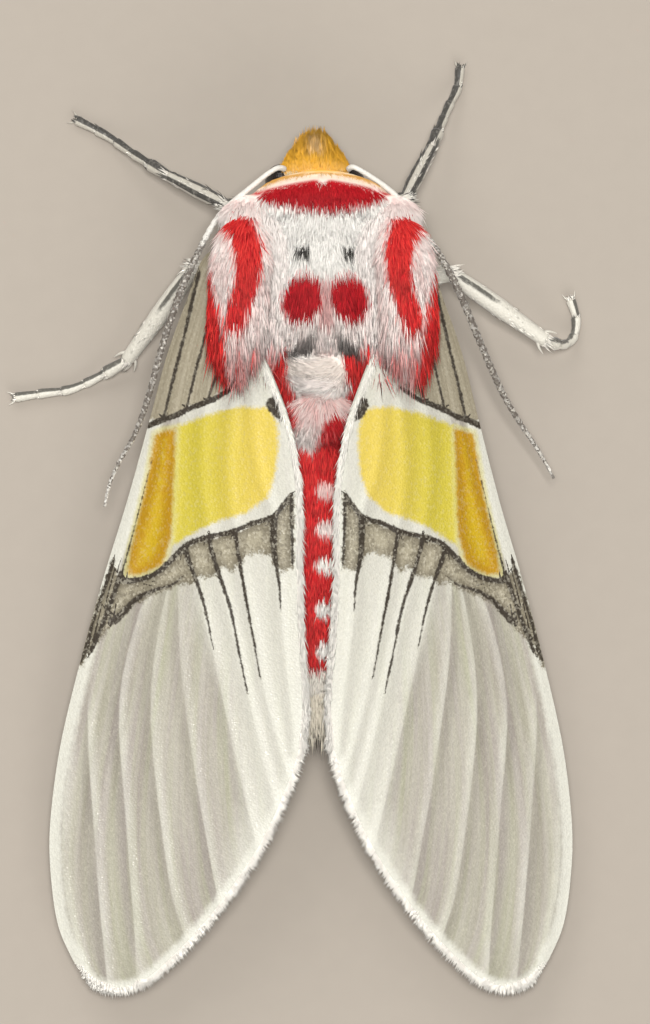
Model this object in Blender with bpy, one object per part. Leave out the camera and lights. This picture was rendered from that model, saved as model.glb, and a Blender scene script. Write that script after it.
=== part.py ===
"""A resting tiger moth, life size, with its wings held like a low roof over its body.

Frame: +Z up, the head towards -Y and the moth's left side at +X. The moth is drawn about its own
midline, x = 0, with the floor at z = 0. All of it is then moved so that the origin lies on the
floor under the middle of its box. Lengths are in millimetres until solid() turns them into metres.
"""

import math
import random
from dataclasses import dataclass

import bmesh
import bpy
from mathutils import Vector

METRES = 0.001
GAP = 0.3
SMALL_GAP = 0.2
SIDES = (("left", 1), ("right", -1))
UP = Vector((0, 0, 1))
BACKWARDS = Vector((0, 1, 0))

# Wings: a slab, waved up at each vein and down between veins.
WING_THICKNESS = 0.5
VEIN_RISE = 0.13
FOLD_DROP = 0.05
WING_SPACING = WING_THICKNESS + GAP + VEIN_RISE
# Where each main vein ends along the outer margin, as a share from the leading to the inner edge.
FOREWING_VEINS = (0.0, 0.1, 0.2, 0.31, 0.42, 0.53, 0.64, 0.75, 0.87, 1.0)
FOREWING_ROWS = 22
HINDWING_VEINS = (0.0, 0.25, 0.5, 0.75, 1.0)
HINDWING_ROWS = 12

# The outline of the left forewing from above (x, y), as edges that meet at its corners.
LEADING_EDGE = (
    (1.9, -7.7), (2.95, -7.4), (3.5, -6.1), (4.0, -4.7), (4.45, -3.0), (5.05, -0.8), (5.75, 1.5),
    (6.4, 3.9), (6.9, 6.1), (7.15, 8.2), (7.1, 9.7), (6.9, 10.9), (6.5, 11.8),
)
OUTER_MARGIN = (
    (6.5, 11.8), (6.0, 12.3), (5.4, 12.5), (4.75, 12.35), (4.1, 11.85), (3.1, 10.8), (2.2, 9.6),
    (1.4, 8.3), (0.75, 6.8), (0.38, 5.6),
)
INNER_EDGE = (
    (1.75, -5.3), (1.2, -4.0), (0.75, -2.7), (0.52, -1.2), (0.5, 0.8), (0.42, 2.8), (0.3, 4.4),
    (0.38, 5.6),
)
HINDWING_LEADING_EDGE = (
    (1.9, -5.6), (3.0, -4.2), (3.9, -2.0), (4.7, 0.5), (5.1, 2.8), (5.0, 4.6),
)
HINDWING_OUTER_MARGIN = ((5.0, 4.6), (4.5, 5.9), (3.7, 6.8), (2.9, 7.0), (2.3, 6.3))
HINDWING_INNER_EDGE = (
    (1.5, -4.4), (2.0, -3.2), (2.2, -1.0), (2.15, 1.5), (2.1, 4.0), (2.3, 6.3),
)

# The roof that the forewings make: heights along the ridge beside the midline, then the places
# and heights of the eaves along the leading edges.
RIDGE_PLACE = 0.4
RIDGE = ((-8.0, 5.0), (-3.5, 5.02), (-0.5, 4.8), (3.0, 4.3), (6.0, 3.85), (12.6, 3.1))
EAVES = (
    (-8.0, 2.9, 3.55), (-6.1, 3.5, 3.25), (-4.7, 4.0, 3.0), (-3.0, 4.45, 2.7), (-0.8, 5.05, 2.25),
    (1.5, 5.75, 1.9), (3.9, 6.4, 1.6), (6.1, 6.9, 1.35), (8.2, 7.15, 1.15), (12.6, 7.3, 0.9),
)
ROOF_BEND = 1.15

# Body cross-sections: station along the body, height of the axis, half width, rise, drop.
THORAX_SECTIONS = (
    (-8.9, 3.3, 0.9, 0.7, 0.9), (-8.4, 3.2, 1.45, 1.2, 1.5), (-7.4, 3.1, 1.8, 1.65, 2.0),
    (-6.2, 3.0, 1.95, 1.85, 2.1), (-5.0, 3.0, 1.85, 1.6, 1.9), (-4.0, 2.9, 1.6, 1.25, 1.7),
    (-3.3, 2.8, 1.3, 1.0, 1.4),
)
ABDOMEN_SECTIONS = (
    (-3.0, 2.65, 1.25, 1.1, 1.35), (-2.2, 2.5, 1.5, 1.4, 1.6), (-0.5, 2.4, 1.65, 1.55, 1.65),
    (1.2, 2.3, 1.6, 1.5, 1.55), (2.8, 2.2, 1.4, 1.35, 1.35), (4.2, 2.15, 1.05, 1.1, 1.05),
    (5.0, 2.2, 0.6, 0.7, 0.6),
)
ABDOMEN_SEGMENTS = 7
SEGMENT_STEP = 0.08

HEAD_CENTRE = Vector((0, -9.65, 3.05))
HEAD_RADII = (1.0, 0.62, 1.12)
EYE_PLACE = Vector((0.98, -9.72, 2.9))
EYE_RADIUS = 0.58
PALP_LINE = ((0.36, -9.85, 1.95), (0.4, -10.4, 1.95), (0.42, -10.85, 2.2))
PALP_RADII = (0.24, 0.26, 0.12)
COLLAR_LINE = (
    (-1.95, -8.5, 3.85), (-1.3, -8.9, 4.35), (0.0, -9.05, 4.6), (1.3, -8.9, 4.35),
    (1.95, -8.5, 3.85),
)
COLLAR_RADII = (0.25, 0.38, 0.42, 0.38, 0.25)
# Station, place across, height, half width and half thickness, tilted down outwards.
TEGULA_SECTIONS = (
    (-8.55, 1.95, 4.25, 0.25, 0.2), (-8.1, 2.1, 4.45, 0.6, 0.38), (-7.3, 2.2, 4.72, 0.85, 0.5),
    (-6.2, 2.3, 4.75, 0.85, 0.5), (-5.4, 2.35, 4.68, 0.62, 0.38), (-4.9, 2.4, 4.6, 0.3, 0.22),
)
TEGULA_TILT = math.radians(28)

ANTENNA_RADIUS = 0.25
ANTENNA_TIP_RADIUS = 0.14
ANTENNA_TOOTH = 0.03
ANTENNA_TEETH = 20
ANTENNA_LINES = {
    "left": (
        (0.62, -9.7, 3.95), (1.14, -9.84, 4.05), (1.85, -9.2, 4.0), (2.65, -8.5, 4.05),
        (3.3, -7.5, 4.1), (3.75, -6.4, 4.0), (4.15, -4.9, 3.75), (4.5, -3.6, 3.45),
        (4.85, -2.6, 3.15), (5.3, -1.78, 2.95), (5.55, -1.2, 2.85), (5.68, -0.6, 2.75),
    ),
    "right": (
        (-0.62, -9.7, 3.95), (-1.1, -9.84, 4.05), (-2.1, -9.05, 4.0), (-2.9, -8.0, 4.0),
        (-3.3, -7.4, 3.95), (-3.85, -6.4, 3.7), (-4.38, -5.22, 3.3), (-5.19, -3.54, 2.65),
        (-6.17, -2.1, 1.95), (-6.6, -1.38, 1.65),
    ),
}

# The right legs stand a little differently from the left. Each leg is given by the points of its
# coxa, femur and tibia, and by those of its tarsus, which ends flat on the floor.
LEGS = {
    "foreleg_left": (
        ((0.75, -8.15, 2.0), (1.15, -8.7, 1.45), (2.35, -8.78, 2.15), (3.93, -9.63, 1.4)),
        ((3.93, -9.63, 1.4), (4.88, -10.27, 0.72), (5.57, -10.77, 0.3), (6.42, -11.22, 0.22)),
    ),
    "foreleg_right": (
        ((-0.75, -8.15, 2.0), (-1.2, -8.75, 1.45), (-2.5, -8.98, 2.15), (-3.28, -10.44, 1.4)),
        ((-3.28, -10.44, 1.4), (-3.75, -11.5, 0.62), (-4.05, -12.1, 0.28), (-4.14, -12.7, 0.22)),
    ),
    "midleg_left": (
        ((0.85, -6.5, 1.8), (1.3, -6.6, 1.2), (3.25, -7.1, 2.1), (5.05, -4.6, 0.62)),
        ((5.05, -4.6, 0.62), (5.9, -4.12, 0.34), (6.6, -3.82, 0.22), (7.3, -3.72, 0.22),
         (8.1, -3.6, 0.22)),
    ),
    "midleg_right": (
        ((-0.85, -6.5, 1.8), (-1.3, -6.6, 1.2), (-3.75, -6.95, 2.1), (-6.4, -5.15, 1.45)),
        ((-6.4, -5.15, 1.45), (-6.9, -5.05, 0.8), (-7.25, -5.25, 0.32), (-7.35, -5.75, 0.22),
         (-7.2, -6.3, 0.22)),
    ),
    "hindleg_left": (
        ((0.8, -4.85, 1.75), (1.25, -4.6, 1.1), (2.6, -3.3, 1.3), (3.35, 0.1, 0.6)),
        ((3.35, 0.1, 0.6), (3.6, 1.1, 0.32), (3.9, 2.1, 0.22), (4.15, 3.1, 0.22)),
    ),
    "hindleg_right": (
        ((-0.8, -4.85, 1.75), (-1.25, -4.6, 1.1), (-2.6, -3.25, 1.3), (-3.2, 0.2, 0.6)),
        ((-3.2, 0.2, 0.6), (-3.4, 1.2, 0.32), (-3.6, 2.2, 0.22), (-3.75, 3.2, 0.22)),
    ),
}
COXA_RADII = (0.42, 0.36)
FEMUR_RADII = (0.31, 0.37, 0.34, 0.3)
TIBIA_RADII = (0.3, 0.36, 0.35, 0.3)
TARSUS_RADIUS = 0.26
TARSUS_JOINT_RADIUS = 0.21
TARSUS_SEGMENTS = 5
CLAW_LENGTH = 0.35
CLAW_RADIUS = 0.12
SPUR_LENGTH = 0.75
SPUR_RADIUS = 0.16

# Locks of hair.
LOCK_THICKNESS = 0.5
LOCK_ROOT_DEPTH = 0.22
LOCK_VARIATION = 0.12
THORAX_LOCK_ROWS = 6
THORAX_LOCK_COLUMNS = (-1.05, -0.53, 0.0, 0.53, 1.05)
THORAX_LOCK_FIRST_ROOT = -8.25
THORAX_LOCK_LAST_ROOT = -4.35
THORAX_LOCK_LENGTH = 1.35
THORAX_LAST_LOCK_GROWTH = 1.25
THORAX_LOCK_WIDTH = 0.78
TEGULA_LOCK_ROOTS = (-7.7, -6.7, -5.7)
TEGULA_LOCK_COLUMNS = (-0.75, -0.25, 0.25, 0.75)
TEGULA_LOCK_LENGTH = 1.75
TEGULA_LOCK_WIDTH = 0.62
COLLAR_LOCKS = 7
COLLAR_LOCK_LENGTH = 0.7
COLLAR_LOCK_WIDTH = 0.62
HEAD_LOCK_TIERS = ((-6, (-36, 0, 36)), (24, (-58, -19, 19, 58)), (58, (-55, 0, 55)))
HEAD_LOCK_APEX = Vector((0, -11.0, 2.85))
HEAD_LOCK_LENGTH = 0.72
HEAD_LOCK_WIDTH = 0.72
TAIL_LOCKS = 7
TAIL_LOCK_LENGTH = 1.15
TAIL_LOCK_WIDTH = 0.55

COLOURS = {
    "head": (0.72, 0.33, 0.04), "eye": (0.02, 0.015, 0.015), "palp": (0.7, 0.36, 0.06),
    "antenna": (0.3, 0.26, 0.22), "collar": (0.55, 0.02, 0.04), "thorax": (0.8, 0.76, 0.72),
    "tegula": (0.6, 0.12, 0.13), "abdomen": (0.6, 0.02, 0.04), "forewing": (0.62, 0.62, 0.53),
    "hindwing": (0.72, 0.71, 0.66), "foreleg": (0.16, 0.15, 0.14), "midleg": (0.6, 0.57, 0.5),
    "hindleg": (0.6, 0.57, 0.5),
}
ROUGHNESS = {"eye": 0.15, "forewing": 0.45, "hindwing": 0.5}
HAIR_ROUGHNESS = 0.8
CREASE = math.radians(50)


def mixed(a, b, share):
    return a + (b - a) * share


def mirrored(place, sign):
    return Vector((place[0] * sign, place[1], place[2]))


def eased(before, a, b, after, t, slopes):
    """A cubic from a to b, with its end slopes taken from the neighbours on either side."""
    out, back = (b - before) * slopes[0], (after - a) * slopes[1]
    return (
        a * (2 * t**3 - 3 * t**2 + 1) + b * (3 * t**2 - 2 * t**3)
        + out * (t**3 - 2 * t**2 + t) + back * (t**3 - t**2)
    )


def read(table, station):
    """The values of a table at a station, eased smoothly between its rows."""
    station = min(max(station, table[0][0]), table[-1][0])
    k = max(i for i in range(len(table) - 1) if table[i][0] <= station)
    low, high = table[k], table[k + 1]
    before, after = table[max(k - 1, 0)], table[min(k + 2, len(table) - 1)]
    span = high[0] - low[0]
    slopes = (span / (high[0] - before[0]), span / (after[0] - low[0]))
    t = (station - low[0]) / span
    return [
        eased(before[c], low[c], high[c], after[c], t, slopes) for c in range(1, len(low))
    ]


class Line:
    """A smooth line through points, read by its share of length from 0 to 1."""

    STEPS = 16

    def __init__(self, points):
        points = [Vector(p).to_3d() for p in points]
        self.points = []
        for k in range(len(points) - 1):
            before, after = points[max(k - 1, 0)], points[min(k + 2, len(points) - 1)]
            self.points += [
                eased(before, points[k], points[k + 1], after, step / self.STEPS, (0.5, 0.5))
                for step in range(self.STEPS)
            ]
        self.points.append(points[-1])
        self.lengths = [0.0]
        for a, b in zip(self.points, self.points[1:]):
            self.lengths.append(self.lengths[-1] + (b - a).length)

    def at(self, share):
        wanted = min(max(share, 0.0), 1.0) * self.lengths[-1]
        k = max(i for i, length in enumerate(self.lengths[:-1]) if length <= wanted)
        step = self.lengths[k + 1] - self.lengths[k]
        return mixed(self.points[k], self.points[k + 1], (wanted - self.lengths[k]) / step)

    def along(self, share):
        return (self.at(share + 0.01) - self.at(share - 0.01)).normalized()


def solid(points, faces):
    """An object of one closed mesh, in metres, with its faces pointing out."""
    mesh = bpy.data.meshes.new("piece")
    mesh.from_pydata([Vector(p) * METRES for p in points], [], faces)
    made = bmesh.new()
    made.from_mesh(mesh)
    bmesh.ops.recalc_face_normals(made, faces=made.faces)
    if made.calc_volume(signed=True) < 0:
        bmesh.ops.reverse_faces(made, faces=made.faces)
    made.to_mesh(mesh)
    made.free()
    piece = bpy.data.objects.new("piece", mesh)
    bpy.context.scene.collection.objects.link(piece)
    return piece


def skin_rings(rings, start=None, end=None):
    """A closed solid over rings of equal count, with a fan of triangles at each end."""
    count = len(rings[0])
    points = [p for ring in rings for p in ring]
    faces = []
    for row in range(len(rings) - 1):
        for k in range(count):
            a, b = row * count + k, row * count + (k + 1) % count
            faces.append((a, b, b + count, a + count))
    for first, middle in ((0, start), (len(points) - count, end)):
        ring = points[first:first + count]
        points.append(middle or sum(ring, Vector()) / count)
        faces += [(first + k, first + (k + 1) % count, len(points) - 1) for k in range(count)]
    return solid(points, faces)


def ring_across(centre, along, width, height, sides):
    """An ellipse of points across a direction, with a flat side down where sides is even."""
    side = along.cross(UP if abs(along.z) < 0.9 else BACKWARDS).normalized()
    up = side.cross(along).normalized()
    angles = [2 * math.pi * (k + 0.5) / sides for k in range(sides)]
    return [centre + side * (width * math.cos(a)) + up * (height * math.sin(a)) for a in angles]


def tube(points, radii, sides=8, rings=8, on_floor=False, tip=None):
    """A round rod along a smooth line, with its radii spread evenly along it."""
    line = Line(points)
    made = []
    for k in range(rings):
        share = k / (rings - 1)
        place = share * (len(radii) - 1)
        low = min(int(place), len(radii) - 2)
        radius = mixed(radii[low], radii[low + 1], place - low)
        ring = ring_across(line.at(share), line.along(share), radius, radius, sides)
        if on_floor:
            ring = [Vector((p.x, p.y, max(p.z, 0.0))) for p in ring]
        made.append(ring)
    return skin_rings(made, end=tip)


def ball(centre, radii, sides, rings):
    """An ellipsoid with its poles in front and behind."""
    made = []
    for k in range(1, rings):
        polar = math.pi * k / rings
        angles = [2 * math.pi * j / sides for j in range(sides)]
        made.append([centre + Vector((
            radii[0] * math.sin(polar) * math.cos(a), -radii[1] * math.cos(polar),
            radii[2] * math.sin(polar) * math.sin(a),
        )) for a in angles])
    return skin_rings(made, centre - BACKWARDS * radii[1], centre + BACKWARDS * radii[1])


def section_point(sections, station, angle, grow=0.0):
    """A point on a body part's surface. The angle starts at its left flank and rises."""
    height, half_width, rise, drop = read(sections, station)
    tall = rise if math.sin(angle) > 0 else drop
    return Vector((
        (half_width + grow) * math.cos(angle), station, height + (tall + grow) * math.sin(angle),
    ))


def body_part(sections, rings, sides, grow=0.0):
    """A body part through its cross-sections, or a larger one that keeps others clear of it."""
    first, last = sections[0][0], sections[-1][0]
    angles = [2 * math.pi * k / sides for k in range(sides)]
    made = []
    for k in range(rings):
        station = mixed(first, last, k / (rings - 1))
        made.append([section_point(sections, station, a, grow) for a in angles])
    if grow:
        front, back = made[0], made[-1]
        made.insert(0, [p - BACKWARDS * grow for p in front])
        made.append([p + BACKWARDS * grow for p in back])
    return skin_rings(made)


@dataclass
class Lock:
    """A flat tapered lock of hair that leaves its root, bends over and runs to a point."""

    root: Vector
    lie: Vector
    lift: Vector
    length: float
    width: float

    def solid(self, grow=0.0):
        """The lock, or a larger one that keeps others clear of it."""
        lie, lift = self.lie.normalized(), self.lift.normalized()
        start = self.root - lift * LOCK_ROOT_DEPTH
        bend = self.root + lie * (0.35 * self.length) + lift * (0.28 * self.length)
        end = self.root + lie * (self.length + grow) + lift * (0.12 * self.length)
        rings = []
        for share, wide in ((0.0, 0.8), (0.35, 1.0), (0.65, 0.85), (0.88, 0.45)):
            near, far = mixed(start, bend, share), mixed(bend, end, share)
            along = (far - near).normalized()
            side = along.cross(lift).normalized() * (self.width / 2 * wide + grow)
            up = side.cross(along).normalized() * (LOCK_THICKNESS / 2 * wide + grow)
            centre = mixed(near, far, share)
            rings.append([centre + side, centre + up, centre - side, centre - up])
        return skin_rings(rings, end=end)


def varied(draw, value):
    return value * draw.uniform(1 - LOCK_VARIATION, 1 + LOCK_VARIATION)


def settle(obj):
    """Applies an object's modifiers to its mesh."""
    graph = bpy.context.evaluated_depsgraph_get()
    mesh = bpy.data.meshes.new_from_object(obj.evaluated_get(graph))
    obj.modifiers.clear()
    obj.data = mesh


def islands_of(faces):
    """The faces, as sets that are joined by their edges."""
    left, islands = set(faces), []
    while left:
        island, border = set(), [left.pop()]
        while border:
            face = border.pop()
            island.add(face)
            near = {f for edge in face.edges for f in edge.link_faces if f in left}
            left -= near
            border += near
        islands.append(island)
    return islands


def volume_of(faces):
    return abs(sum(f.verts[0].co.dot(f.verts[1].co.cross(f.verts[2].co)) for f in faces))


def keep_largest(obj):
    """Drops all but an object's largest closed surface."""
    made = bmesh.new()
    made.from_mesh(obj.data)
    bmesh.ops.triangulate(made, faces=made.faces)
    kept = max(islands_of(made.faces), key=volume_of)
    bmesh.ops.delete(made, geom=[f for f in made.faces if f not in kept], context="FACES")
    made.to_mesh(obj.data)
    made.free()


def combine(obj, others, operation):
    """One Boolean of an object with a collection of closed meshes, which are then removed.

    The exact solver leaves open edges where a lock grazes its core, so this is the manifold one.
    """
    group = bpy.data.collections.new("pieces")
    bpy.context.scene.collection.children.link(group)
    for other in others:
        bpy.context.scene.collection.objects.unlink(other)
        group.objects.link(other)
    modifier = obj.modifiers.new("combine", "BOOLEAN")
    modifier.operation = operation
    modifier.operand_type = "COLLECTION"
    modifier.collection = group
    modifier.solver = "MANIFOLD"
    settle(obj)
    for other in others:
        bpy.data.objects.remove(other)
    bpy.data.collections.remove(group)
    keep_largest(obj)


def roof(x, y):
    """Height of the top of the forewings over a place."""
    ridge = read(RIDGE, y)[0]
    eaves_place, eaves = read(EAVES, y)
    share = max(abs(x) - RIDGE_PLACE, 0.0) / (eaves_place - RIDGE_PLACE)
    return ridge - (ridge - eaves) * share**ROOF_BEND


def steepness(x, y):
    """How much longer a vertical line through the roof is than one square to it."""
    step = 0.05
    across = (roof(x + step, y) - roof(x - step, y)) / (2 * step)
    down = (roof(x, y + step) - roof(x, y - step)) / (2 * step)
    return math.sqrt(1 + across**2 + down**2)


class Wing:
    """A wing as a patch between its edges, from its root to its outer margin."""

    def __init__(self, leading, outer, inner, veins, rows, layer):
        self.leading, self.outer, self.inner = Line(leading), Line(outer), Line(inner)
        self.root = Line((leading[0], inner[0]))
        self.rows, self.layer = rows, layer
        self.columns = [(veins[0], VEIN_RISE)]
        for a, b in zip(veins, veins[1:]):
            self.columns += [((a + b) / 2, -FOLD_DROP), (b, VEIN_RISE)]

    def place(self, down, across):
        """A point of the left wing from above, by its shares down the wing and across it."""
        ruled = mixed(self.leading.at(down), self.inner.at(down), across)
        ends = mixed(self.root.at(across), self.outer.at(across), down)
        corners = mixed(
            mixed(self.root.at(0), self.root.at(1), across),
            mixed(self.outer.at(0), self.outer.at(1), across), down,
        )
        return ruled + ends - corners

    def solid(self, sign, grow=0.0):
        """The wing as a slab, waved along its veins, or a thicker one as a cutter."""
        tops, undersides = [], []
        for row in range(self.rows + 1):
            down = row / self.rows
            for across, wave in self.columns:
                spot = self.place(down, across)
                steep = steepness(spot.x, spot.y)
                height = roof(spot.x, spot.y) + wave * min(1.0, 2.5 * down)
                height += (grow - self.layer * WING_SPACING) * steep
                thickness = (WING_THICKNESS + 2 * grow) * steep
                tops.append(Vector((spot.x * sign, spot.y, height)))
                undersides.append(Vector((spot.x * sign, spot.y, height - thickness)))
        return solid(tops + undersides, slab_faces(self.rows, len(self.columns)))


def slab_faces(rows, count):
    """Triangles of a slab whose two faces are grids with the same diagonals."""
    below = (rows + 1) * count
    faces = []
    for row in range(rows):
        for k in range(count - 1):
            a = row * count + k
            for face in ((a, a + 1, a + count + 1), (a, a + count + 1, a + count)):
                faces += [face, tuple(below + corner for corner in reversed(face))]
    rim = list(range(count)) + [row * count + count - 1 for row in range(1, rows + 1)]
    rim += [rows * count + k for k in range(count - 2, -1, -1)]
    rim += [row * count for row in range(rows - 1, 0, -1)]
    for a, b in zip(rim, rim[1:] + rim[:1]):
        faces += [(a, below + a, below + b), (a, below + b, b)]
    return faces


def thorax_locks():
    """Rows of broad locks over the back of the thorax, the last ones over the abdomen."""
    draw = random.Random(3)
    locks = []
    for row in range(THORAX_LOCK_ROWS):
        share = row / (THORAX_LOCK_ROWS - 1)
        station = mixed(THORAX_LOCK_FIRST_ROOT, THORAX_LOCK_LAST_ROOT, share)
        height, half_width, rise, _ = read(THORAX_SECTIONS, station)
        last = row == THORAX_LOCK_ROWS - 1
        for x in THORAX_LOCK_COLUMNS[1:-1] if last else THORAX_LOCK_COLUMNS:
            slope = math.acos(x * min(1.0, half_width / 1.8) / half_width)
            root = section_point(THORAX_SECTIONS, station, slope)
            lift = Vector((0.6 * math.cos(slope), 0, 1))
            lie = BACKWARDS + Vector((draw.uniform(-0.08, 0.08), 0, 0))
            length = varied(draw, THORAX_LOCK_LENGTH) * (THORAX_LAST_LOCK_GROWTH if last else 1)
            locks.append(Lock(root, lie, lift, length, varied(draw, THORAX_LOCK_WIDTH)))
    return locks


def thorax(grow=0.0, hair=True):
    locks = thorax_locks() if hair else []
    return [body_part(THORAX_SECTIONS, 12, 18, grow)] + [lock.solid(grow) for lock in locks]


def abdomen():
    """The tapering abdomen, each segment a little wider at its hind edge, with a tail of hair."""
    draw = random.Random(5)
    first, last = ABDOMEN_SECTIONS[0][0], ABDOMEN_SECTIONS[-1][0]
    angles = [2 * math.pi * k / 16 for k in range(16)]
    rings = []
    for segment in range(ABDOMEN_SEGMENTS):
        for share, step in ((0.0, -SEGMENT_STEP), (0.5, 0.0), (0.92, 0.0)):
            station = mixed(first, last, (segment + share) / ABDOMEN_SEGMENTS)
            rings.append([section_point(ABDOMEN_SECTIONS, station, a, step) for a in angles])
    rings.append([section_point(ABDOMEN_SECTIONS, last, a) for a in angles])
    pieces = [skin_rings(rings)]
    for k in range(TAIL_LOCKS):
        angle = 2 * math.pi * (k + 0.25) / TAIL_LOCKS
        root = section_point(ABDOMEN_SECTIONS, last - 0.35, angle, -0.1)
        outwards = Vector((math.cos(angle), 0, math.sin(angle)))
        lie = BACKWARDS - outwards * 0.42
        pieces.append(Lock(
            root, lie, outwards, varied(draw, TAIL_LOCK_LENGTH), TAIL_LOCK_WIDTH,
        ).solid())
    return pieces


def head():
    """The head with its cone of hair, whose locks close on a point in front of the face."""
    draw = random.Random(7)
    pieces = [ball(HEAD_CENTRE, HEAD_RADII, 16, 10)]
    for tilt, turns in HEAD_LOCK_TIERS:
        for turn in turns:
            up, round_about = math.radians(tilt), math.radians(turn)
            outwards = Vector((
                math.sin(round_about) * math.cos(up), -math.cos(round_about) * math.cos(up),
                math.sin(up),
            ))
            root = HEAD_CENTRE + Vector([outwards[k] * HEAD_RADII[k] * 0.95 for k in range(3)])
            lie = (HEAD_LOCK_APEX - root).normalized()
            lift = (outwards - lie * outwards.dot(lie)) + UP * 0.1
            pieces.append(Lock(
                root, lie, lift, varied(draw, HEAD_LOCK_LENGTH), varied(draw, HEAD_LOCK_WIDTH),
            ).solid())
    return pieces


def eye(sign, grow=0.0):
    return ball(mirrored(EYE_PLACE, sign), [EYE_RADIUS + grow] * 3, 14, 9)


def palp(sign, grow=0.0):
    points = [mirrored(p, sign) for p in PALP_LINE]
    return tube(points, [radius + grow for radius in PALP_RADII], 8, 7)


def antenna(side, grow=0.0):
    """A feeler with short teeth all along, thinner towards its tip."""
    radii = []
    for k in range(ANTENNA_TEETH):
        size = mixed(ANTENNA_RADIUS, ANTENNA_TIP_RADIUS, (k / ANTENNA_TEETH) ** 3) + grow
        radii += [size + ANTENNA_TOOTH, size - ANTENNA_TOOTH]
    radii.append(ANTENNA_TIP_RADIUS / 2 + grow)
    return tube(ANTENNA_LINES[side], radii, 6, len(radii))


def face_pieces():
    """Larger copies of what stands in the head, which leave it their sockets."""
    made = []
    for side, sign in SIDES:
        made += [eye(sign, SMALL_GAP), palp(sign, GAP), antenna(side, GAP)]
    return made


def collar(grow=0.0):
    """The ruff behind the head, with short locks that lie back."""
    draw = random.Random(11)
    line = Line(COLLAR_LINE)
    pieces = [tube(COLLAR_LINE, [radius + grow for radius in COLLAR_RADII], 10, 13)]
    for k in range(COLLAR_LOCKS):
        share = (k + 0.5) / COLLAR_LOCKS
        centre = line.at(share)
        lift = UP + Vector((0.35 * centre.x, -0.25, 0))
        root = centre + lift.normalized() * (COLLAR_RADII[1] * 0.8)
        lock = Lock(
            root, BACKWARDS, lift, varied(draw, COLLAR_LOCK_LENGTH), varied(draw, COLLAR_LOCK_WIDTH),
        )
        pieces.append(lock.solid(grow))
    return pieces


def tegula(sign):
    """The shoulder plate over a wing root, under long locks that trail back over the wing."""
    draw = random.Random(13)
    outwards = Vector((math.cos(TEGULA_TILT) * sign, 0, -math.sin(TEGULA_TILT)))
    lift = Vector((math.sin(TEGULA_TILT) * sign, 0, math.cos(TEGULA_TILT)))
    rings = []
    for station, across, height, half_width, half_thickness in TEGULA_SECTIONS:
        centre = Vector((across * sign, station, height))
        angles = [2 * math.pi * k / 12 for k in range(12)]
        rings.append([
            centre + outwards * (half_width * math.cos(a)) + lift * (half_thickness * math.sin(a))
            for a in angles
        ])
    pieces = [skin_rings(rings)]
    for station in TEGULA_LOCK_ROOTS:
        across, height, half_width, half_thickness = read(TEGULA_SECTIONS, station)
        for column in TEGULA_LOCK_COLUMNS:
            root = Vector((across * sign, station, height)) + outwards * (column * half_width)
            root += lift * (half_thickness * math.sqrt(1 - column**2))
            lie = BACKWARDS + outwards * (0.12 * column) - UP * 0.06
            pieces.append(Lock(
                root, lie, lift, varied(draw, TEGULA_LOCK_LENGTH), varied(draw, TEGULA_LOCK_WIDTH),
            ).solid())
    return pieces


def leg(name):
    """A leg: coxa, femur, tibia with its spurs, and a jointed tarsus with two claws."""
    (hip, trochanter, knee, ankle), tarsus_points = LEGS[name]
    pieces = [
        tube((trochanter, knee), FEMUR_RADII, rings=5), tube((hip, trochanter), COXA_RADII, rings=3),
        tube((knee, ankle), TIBIA_RADII, rings=5),
    ]
    radii = [TARSUS_JOINT_RADIUS, TARSUS_RADIUS] * TARSUS_SEGMENTS
    pieces.append(tube(tarsus_points, radii, 8, len(radii), on_floor=True))
    foot = Line(tarsus_points)
    pieces += spikes(foot.at(1.0), foot.along(1.0), CLAW_LENGTH, CLAW_RADIUS)
    if not name.startswith("fore"):
        shin = Line((knee, ankle))
        pieces += spikes(shin.at(0.92), shin.along(1.0), SPUR_LENGTH, SPUR_RADIUS)
    return pieces


def spikes(start, along, length, radius):
    """Two spikes that fork from a point, kept above the floor."""
    side = along.cross(UP).normalized()
    made = []
    for turn in (-1, 1):
        tip = start + (along + side * (0.8 * turn)).normalized() * length
        tip.z = max(tip.z, 2 * radius)
        middle = mixed(start, tip, 0.6)
        made.append(tube((start, middle), (radius, radius * 0.8), 6, 2, tip=tip))
    return made


def node(name, pieces, clear_of=()):
    """One named part of the moth: its pieces made one, then cut clear of its neighbours."""
    obj, *others = pieces
    if others:
        combine(obj, others, "UNION")
    if clear_of:
        combine(obj, clear_of, "DIFFERENCE")
    obj.name = obj.data.name = name
    kind = name.split("_")[0]
    material = bpy.data.materials.new(name)
    material.use_nodes = True
    shader = material.node_tree.nodes["Principled BSDF"]
    shader.inputs["Base Color"].default_value = (*COLOURS[kind], 1)
    shader.inputs["Roughness"].default_value = ROUGHNESS.get(kind, HAIR_ROUGHNESS)
    obj.data.materials.clear()
    obj.data.materials.append(material)
    obj.data.shade_smooth()
    obj.data.set_sharp_from_angle(angle=CREASE)
    return obj


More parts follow.
